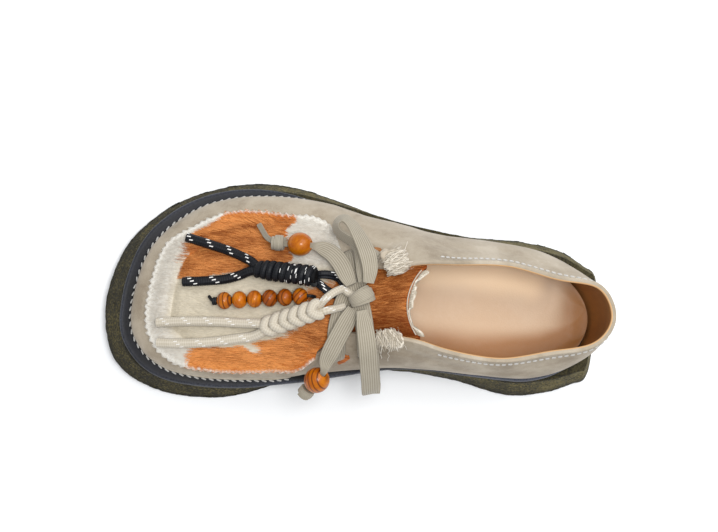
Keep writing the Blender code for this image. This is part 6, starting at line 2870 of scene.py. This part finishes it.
@dataclass
class Lanyards:
    """The black and the cream lanyard, each a knot with two tails and a bight."""

    ground: Ground
    finishes: Finishes
    tail: float = 5.4
    strand: float = 3.6
    bight: float = 4.4
    black_wide: float = 11.8
    black_wraps: float = 9.0
    cream_wide: float = 11.6
    cream_flat: float = 0.72
    cream_turns: int = 6
    root_depth: float = 3.2
    fleck_start: float = 7.5
    fleck_end: float = 3.0
    fleck_pitch: float = 12.4
    fleck_set: tuple[tuple[float, float], ...] = ((0.0, 2.2), (1.8, 1.57), (3.4, 0.95))
    fleck_long: float = 2.2
    fleck_count: int = 105
    wrap_thick: float = 4.1
    wrap_spots: int = 620

    def build(self) -> list[Piece]:
        """Makes both lanyards.

        Returns:
            The knots, bights and tails.
        """
        black = self.black_knot()
        cream = self.cream_knot()
        tails = (
            ("black_tail_upper", BLACK_TAIL_UPPER, Slot.BLACK_CORD, 0.0),
            ("black_tail_lower", BLACK_TAIL_LOWER, Slot.BLACK_CORD, 5.0),
            ("cream_tail_upper", CREAM_TAIL_UPPER, Slot.CREAM_CORD, 0.0),
            ("cream_tail_lower", CREAM_TAIL_LOWER, Slot.CREAM_CORD, 6.0),
        )
        bights = (("cream_bight_upper", CREAM_BIGHT_UPPER), ("cream_bight_lower", CREAM_BIGHT_LOWER))
        made = [black, cream]
        for name, rows in bights:
            route = self.ground.route(rows, self.bight / 2)
            made.append(self.cord(name, route, self.bight, Slot.CREAM_CORD, 0.0, None))
        on_cord = {Slot.BLACK_CORD: [black], Slot.CREAM_CORD: made[1:]}
        roots = {
            Slot.BLACK_CORD: self.root(BLACK_KNOT, self.black_wide / 2),
            Slot.CREAM_CORD: self.root(CREAM_KNOT, self.cream_flat * self.cream_wide / 2),
        }
        for name, rows, slot, start in tails:
            route = np.concatenate([[roots[slot]], self.ground.route(rows, self.tail / 2)])
            made.append(self.cord(name, route, self.tail, slot, start, on_cord.pop(slot, [])))
        bight = self.ground.route(BLACK_BIGHT, self.strand / 2)
        made.append(self.cord("black_bight", bight, self.strand, Slot.BLACK_CORD, 2.0, []))
        return made

    def root(self, knot: Sequence[Lay], radius: float) -> Array:
        """Where tails start inside the toe end of their knot."""
        first, last = self.ground.line(knot, radius)
        return first + unit(last - first) * self.root_depth

    def cord(
        self,
        name: str,
        route: Array,
        diameter: float,
        slot: Slot,
        start: float,
        extras: list[Piece] | None,
    ) -> Piece:
        """One braided cord.

        Args:
            name: The solid that it stands for.
            route: Its points.
            diameter: Its thickness.
            slot: Its finish.
            start: Where its flecks begin.
            extras: Pieces on it; none at all where it is too short to be a free cord.

        Returns:
            The cord.
        """
        is_black = slot is Slot.BLACK_CORD
        braid = Braid(diameter, relief=0.09 if is_black else 0.045)
        skin = Skin()
        run = braid.skin_over(skin, route)
        spots = []
        for distance in np.arange(self.fleck_start + start, run.length - self.fleck_end, self.fleck_pitch):
            spots += [(distance + further, turn) for further, turn in self.fleck_set]
        braid.add_flecks(skin, run, spots, self.fleck_long, 0.66 if is_black else 0.45)
        base = self.finishes.black if is_black else self.finishes.cream
        piece = settle(skin.make(f"{name}_braid", [base, self.finishes.fleck]), slot, name)
        if extras is not None:
            far_end = FarEnd.OBJECT if name == "black_bight" else FarEnd.BARE
            declare_cord(run.path, diameter)
        return piece

    def black_knot(self) -> Piece:
        """Close wraps of black cord round the doubled strands.

        Returns:
            The knot.
        """
        first, last = self.ground.line(BLACK_KNOT, self.black_wide / 2)
        axis = unit(last - first)
        side, rise = square_to(axis)
        length = np.linalg.norm(last - first)
        turns = np.linspace(0.0, self.black_wraps * math.tau, self.wrap_spots)
        cord = self.wrap_thick
        radius = (self.black_wide - cord) / 2
        shares = np.linspace(0.5 * cord / length, 1.0 - 0.5 * cord / length, len(turns))
        path = moved(first, (axis, length * shares))
        wobble = radius + 0.3 * Lumps(41)(path + np.sin(turns)[:, None] * 4.0, 4.0)
        wobble *= 0.72 + 0.28 * smooth_step(turns, 0.0, 2.2 * math.tau)
        path = moved(path, (side, wobble * np.cos(turns)), (rise, wobble * np.sin(turns)))
        skin = Skin()
        braid = Braid(cord, strands=10, relief=0.1, around=26, step=0.5)
        run = braid.skin_over(skin, path)
        core = Run(first + axis * np.linspace(1.0, length - 1.0, 12)[:, None])
        core.tube(skin, np.full((12, 16), radius))
        rng = np.random.default_rng(42)
        far = run.length * (1.0 - 0.62 * rng.uniform(0.03, 1.0, self.fleck_count) ** 1.2)
        turn = rng.uniform(0, math.tau, self.fleck_count)
        spots = np.column_stack([np.minimum(far, run.length - self.fleck_end), turn])
        braid.add_flecks(skin, run, spots, 1.7, 0.42)
        for part, shift in ((BLACK_BIGHT[:5], 2.1), (BLACK_BIGHT[-5:], 1.8), (BLACK_BIGHT[-5:], -1.6)):
            beside = [place._replace(y=place.y - shift) for place in part]
            strand = Braid(self.strand * 0.5, relief=0.08, around=14)
            strand.skin_over(skin, self.ground.route(beside, self.strand / 2))
        finishes = [self.finishes.black, self.finishes.fleck]
        return settle(skin.make("black_knot_wraps", finishes), Slot.BLACK_CORD, "black_knot")

    def cream_knot(self) -> Piece:
        """Cream strands drawn into interlocking chevrons along the knot.

        Returns:
            The knot.
        """
        first, last = self.ground.line(CREAM_KNOT, self.cream_flat * self.cream_wide / 2)
        axis = unit(last - first)
        side, rise = square_to(axis)
        length = np.linalg.norm(last - first)
        pitch = length / self.cream_turns
        cord = pitch * 0.95
        wide = (self.cream_wide - cord) / 2 + 0.3
        tall = self.cream_flat * self.cream_wide / 2 - cord / 2 + 0.8
        around = np.linspace(-1.95, 1.95, 60)
        bend = around - 0.3
        lean = 3.2 * (np.sqrt((bend / 1.57) ** 2 + 0.012) - 0.11) + 0.12 * pitch * np.tanh(3.0 * bend)
        braid = Braid(cord, strands=10, relief=0.05, around=24, step=0.5)
        skin = Skin()
        for i in range(self.cream_turns):
            over = 1.0 + 0.12 * np.cos(bend * 2.0) * (1 if i % 2 else -1)
            path = moved(
                first,
                (axis, pitch * (i + 0.34) + lean),
                (side, wide * np.sin(around)),
                (rise, tall * over * np.cos(around)),
            )
            braid.skin_over(skin, path)
        core = Run(first + axis * np.linspace(1.5, length - 1.5, 10)[:, None])
        core.tube(skin, np.full((10, 16), 0.8 * tall), crown=0.2)
        return settle(skin.make("cream_knot_plait", [self.finishes.cream]), Slot.CREAM_CORD, "cream_knot")


@dataclass
class Beads:
    """Turned wooden beads: six on a thin cord and one on each lace end."""

    ground: Ground
    finishes: Finishes
    small: float = 9.6
    small_long: float = 7.9
    small_bore: float = 2.8
    small_count: int = 6
    cord_thick: float = 1.9
    big: dict[str, float] = field(default_factory=lambda: {"lateral": 13.0, "medial": 14.0})
    big_bore: float = 4.0
    steps: int = 48
    knot_radius: float = 1.35
    knot_turns: float = 1.6
    knot_reach: float = 0.9
    knot_gap: float = 1.3
    figures: tuple[float, ...] = (1.0, 0.35, 0.6, 0.9, 1.0, 1.0)
    stains: tuple[float, ...] = (0.25, 0.0, 0.05, 0.85, 0.6, 0.3)

    def build(self) -> list[Piece]:
        """Makes the beads and the cord of the row.

        Returns:
            The pieces.
        """
        first, last = self.ground.line(BEAD_ROW, self.small / 2)
        axis = unit(last - first)
        made = []
        for i in range(self.small_count):
            centre = first + (last - first) * i / (self.small_count - 1)
            size = (self.small, self.small_long, self.small_bore)
            look = (self.figures[i], self.stains[i])
            bead = self.bead(f"small_bead_{i + 1}", centre, axis, size, look, i)
            made.append(bead)
        made.append(self.row_cord(first, last, axis))
        for side, look, seed in (("lateral", (0.1, 0.25), 11), ("medial", (1.0, 0.15), 12)):
            centre, stop = centre_of(f"bead_end_{side}"), centre_of(f"knot_end_{side}")
            size = (self.big[side], self.big[side], self.big_bore)
            made.append(self.bead(f"bead_end_{side}", centre, unit(stop - centre), size, look, seed))
        return made

    def bead(
        self,
        name: str,
        centre: Array,
        axis: Array,
        size: tuple[float, float, float],
        look: tuple[float, float],
        seed: int,
    ) -> Piece:
        """One bored bead.

        Args:
            name: The solid that it stands for.
            centre: Its middle.
            axis: The direction of its bore.
            size: Its diameter, length and bore.
            look: How strongly its grain shows, and how dark it is stained.
            seed: What its grain is drawn from.

        Returns:
            The bead.
        """
        diameter, length, bore = size
        angles = np.linspace(0.5, -0.5, 25) * math.pi * 0.76
        heights = length / 2 * np.sin(angles) / math.sin(angles[0])
        radii = diameter / 2 * np.cos(angles)
        mouth = np.array([bore / 2 + 0.5, bore / 2 + 0.1, bore / 2])
        lips = np.array([-length / 2, -length / 2 + 0.15, -length / 2 + 0.7])
        inside = np.array([length / 2 - 0.7, length / 2 - 0.15, length / 2])
        radius = np.concatenate([radii, mouth, mouth[::-1]])
        height = np.concatenate([heights, lips, inside])
        side = unit(np.cross(axis, UP + 0.1))
        rise = np.cross(axis, side)
        turns = full_turn(self.steps)
        ring = side * np.cos(turns)[:, None] + rise * np.sin(turns)[:, None]
        rows = centre + axis * height[:, None, None] + ring[None] * radius[:, None, None]
        rng = np.random.default_rng(seed)
        grain = rng.normal(size=3)
        basis = np.linalg.qr(np.column_stack([axis + 0.45 * grain, rng.normal(size=(3, 2))]))[0]
        wood = (rows - centre) @ basis + rng.uniform(-40.0, 40.0, 3)
        skin = Skin()
        skin.grid(rows, close_rows=True, close_columns=True, wood=wood, figure=look[0], stain=look[1])
        return settle(skin.make(f"{name}_turned", [self.finishes.wood]), Slot.WOOD, name)

    def row_cord(self, first: Array, last: Array, axis: Array) -> Piece:
        """The thin black cord through the small beads, with a knot before the first.

        Args:
            first: The middle of the first bead.
            last: The middle of the last one.
            axis: The direction of the row.

        Returns:
            The cord.
        """
        past = axis * 0.75 * self.small_long
        start, end = self.ground.route(BEAD_CORD_ENDS, self.cord_thick / 2)
        route = np.array([start, first - past, first, (first + last) / 2, last, last + past, end])
        skin = Skin()
        run = Braid(self.cord_thick, relief=0.06, around=14, step=0.3).skin_over(skin, route)
        knot = Skin()
        turns = np.linspace(0.0, self.knot_turns * math.tau, 60)
        centre = first - axis * (self.small_long / 2 + self.knot_gap)
        side, rise = square_to(axis)
        path = moved(
            centre,
            (axis, np.linspace(-self.knot_reach, self.knot_reach, len(turns))),
            (side, self.knot_radius * np.cos(turns)),
            (rise, self.knot_radius * np.sin(turns)),
        )
        Braid(self.cord_thick, relief=0.06, around=12, step=0.4).skin_over(knot, path)
        stopper = settle(knot.make("bead_cord_knot", [self.finishes.black]), Slot.BLACK_CORD)
        piece = settle(skin.make("bead_cord_braid", [self.finishes.black]), Slot.BLACK_CORD, "bead_cord")
        declare_cord(run.path, self.cord_thick, exit_row=-1)
        return piece


class Fray(NamedTuple):
    """How a tuft is frayed: the way its threads lie, their fringe, how many stray, and where it has slid."""

    ahead: tuple[float, float]
    fringe: float
    stray: int
    shift: tuple[float, float]


@dataclass
class Tufts:
    """Frayed cloth drawn out at the top of each facing."""

    ground: Ground
    finishes: Finishes
    threads: int = 80
    thread_radius: float = 0.25
    thread_step: float = 0.7
    thread_sides: int = 6
    thread_drop: float = 30.0
    laid_lift: float = 0.55
    loose_lift: float = 0.3
    seeds: dict[Side, int] = field(default_factory=lambda: {Side.LATERAL: 51, Side.MEDIAL: 52})
    frays: dict[Side, Fray] = field(
        default_factory=lambda: {
            Side.LATERAL: Fray((0.86, 0.51), 0.1, 1, (0.0, 0.0)),
            Side.MEDIAL: Fray((0.3, -0.95), 0.2, 3, (-2.4, 1.4)),
        }
    )
    tan_place: tuple[float, float] = (4.2, 24.4)
    tan_half: tuple[float, float, float] = (2.6, 1.6, 1.4)

    def build(self) -> list[Piece]:
        """Makes both tufts."""
        return [self.tuft(side, fray) for side, fray in self.frays.items()]

    def tuft(self, side: Side, fray: Fray) -> Piece:
        """A flat wad of cloth with frayed threads laid over it; the outer one has a fold of suede beside it.

        Args:
            side: The side of the foot that it is on.
            fray: How it is frayed.

        Returns:
            The tuft.
        """
        seed = self.seeds[side]
        name = f"tuft_{side.name.lower()}"
        rng = np.random.default_rng(seed)
        low, high = (np.array(corner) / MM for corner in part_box(name))
        centre, half = (low + high) / 2 + np.array([*fray.shift, 0.0]), 0.46 * (high - low)
        skin = Skin()
        middle = centre + half * np.array([0.1, 0.0, -0.15])
        self.add_wad(skin, middle, half * np.array([0.9, 0.85, 0.75]), seed, 0)
        if side is Side.LATERAL:
            fold = half * np.array([0.5, 0.7, 0.85])
            self.add_wad(skin, centre + half * np.array([-0.75, 0.35, -0.1]), fold, seed + 7, 1)
            tan = np.array([*self.tan_place, self.ground.z(*self.tan_place) + 0.8])
            self.add_wad(skin, tan, np.array(self.tan_half), seed + 9, 2)
        ahead = np.array(fray.ahead)
        aside = np.array([-ahead[1], ahead[0]])
        for _ in range(self.threads):
            t = np.linspace(rng.uniform(-1.0, -0.55), rng.uniform(0.45, 1.0 + fray.fringe), 10)
            w = rng.uniform(-0.95, 0.95) * (1.0 + 0.15 * t)
            w = w + 0.12 * np.sin(3.0 * t + rng.uniform(0.0, math.tau))
            gone = t**2 + w**2
            z = np.sqrt(np.clip(1.0 - gone, 0.0, 1.0)) * rng.uniform(0.7, 0.95)
            z = z - 1.5 * np.clip(gone - 1.0, 0.0, 1.0)
            plan = ahead * t[:, None] + aside * w[:, None]
            path = centre + half * np.column_stack([plan, z + rng.normal(0.0, 0.04, len(t))])
            self.add_thread(skin, path, rng.uniform(0.7, 1.25), rng.uniform(-0.1, 0.9))
        for i in range(fray.stray):
            start = np.array([rng.uniform(-0.6, 0.9), side.value * 0.6, 0.6])
            way = np.array([rng.uniform(-0.2, 0.4), side.value, 0.0])
            reach = rng.uniform(0.4, 1.2 if i else 1.9)
            line = moved(start, (way, np.linspace(0.0, reach, 7)))
            path = centre + half * (line + rng.normal(0, 0.04, line.shape))
            self.add_thread(skin, path, 0.8, 0.8, True)
        finishes = [self.finishes.cotton, self.finishes.suede, self.finishes.lining]
        return settle(skin.make(f"{name}_cotton", finishes), Slot.COTTON, name)

    @staticmethod
    def add_wad(skin: Skin, centre: Array, half: Array, seed: int, slot: int) -> None:
        """Adds a crumpled fold under the threads.

        Args:
            skin: The mesh that it joins.
            centre: Its middle.
            half: Half its size by axis.
            seed: What its folds are drawn from.
            slot: The place of its material.
        """
        turns, levels = np.meshgrid(full_turn(64), np.linspace(-0.5, 0.5, 33) * math.pi)
        flat = np.cos(levels)
        ball = np.stack([np.cos(turns) * flat, np.sin(turns) * flat, np.sin(levels)], axis=-1)
        lumps = Lumps(seed)
        folds = 1.0 - np.abs(lumps(ball * np.array([3.0, 5.0, 5.0]), 4.2)) * 2.6
        swell = 0.8 + 0.22 * folds + 0.3 * lumps(ball * 3.0 + 9.0, 4.0) + 0.05 * lumps(ball * 9.0, 1.6)
        core = centre + ball * half * swell[..., None]
        # Painted shade in the folds.
        ids = skin.grid(core[1:-1], slot, close_columns=True, crown=0.35 * (folds[1:-1] + 1.0))
        skin.close_ends(ids, core[[0, -1], 0], slot, crown=0.2)

    def add_thread(self, skin: Skin, path: Array, size: float, pale: float, is_laid: bool = False) -> None:
        """Adds one thread.

        Args:
            skin: The mesh that it joins.
            path: The points of its line.
            size: Its thickness against the usual one.
            pale: How pale it is.
            is_laid: Whether it follows what is under it.
        """
        under = np.array([self.ground.z(x, y) for x, y in path[:, :2]])
        lift = self.laid_lift if is_laid else self.loose_lift
        floor = np.maximum(under, path[:, 2] - self.thread_drop) + lift
        path[:, 2] = floor if is_laid else np.maximum(path[:, 2], floor)
        run = Run(smooth_run(path, self.thread_step))
        thin = np.linspace(1.0, 0.7, len(run.path))[:, None] * np.ones(self.thread_sides)
        run.tube(skin, self.thread_radius * size * thin, crown=pale)


def main() -> None:
    """Builds the shoe's sub-assemblies in order and reports their pieces."""
    logging.basicConfig(level=logging.INFO, format="%(message)s")
    last = Last()
    ground = Ground("upper", "apron_tongue")
    finishes = Finishes.mixed()
    floor = Studio().build(FloorFinish().make())
    LOG.info("stage %s", ", ".join(piece.name for piece in floor))
    assemblies = (
        Sole(last, finishes),
        Upper(last, finishes),
        Apron(last, finishes),
        Lanyards(ground, finishes),
        Beads(ground, finishes),
        Lace(ground, finishes),
        Tufts(ground, finishes),
    )
    for assembly in assemblies:
        for piece in assembly.build():
            LOG.info("%s: %s, %d faces", type(assembly).__name__, piece.name, len(piece.data.polygons))


if __name__ == "__main__":
    main()
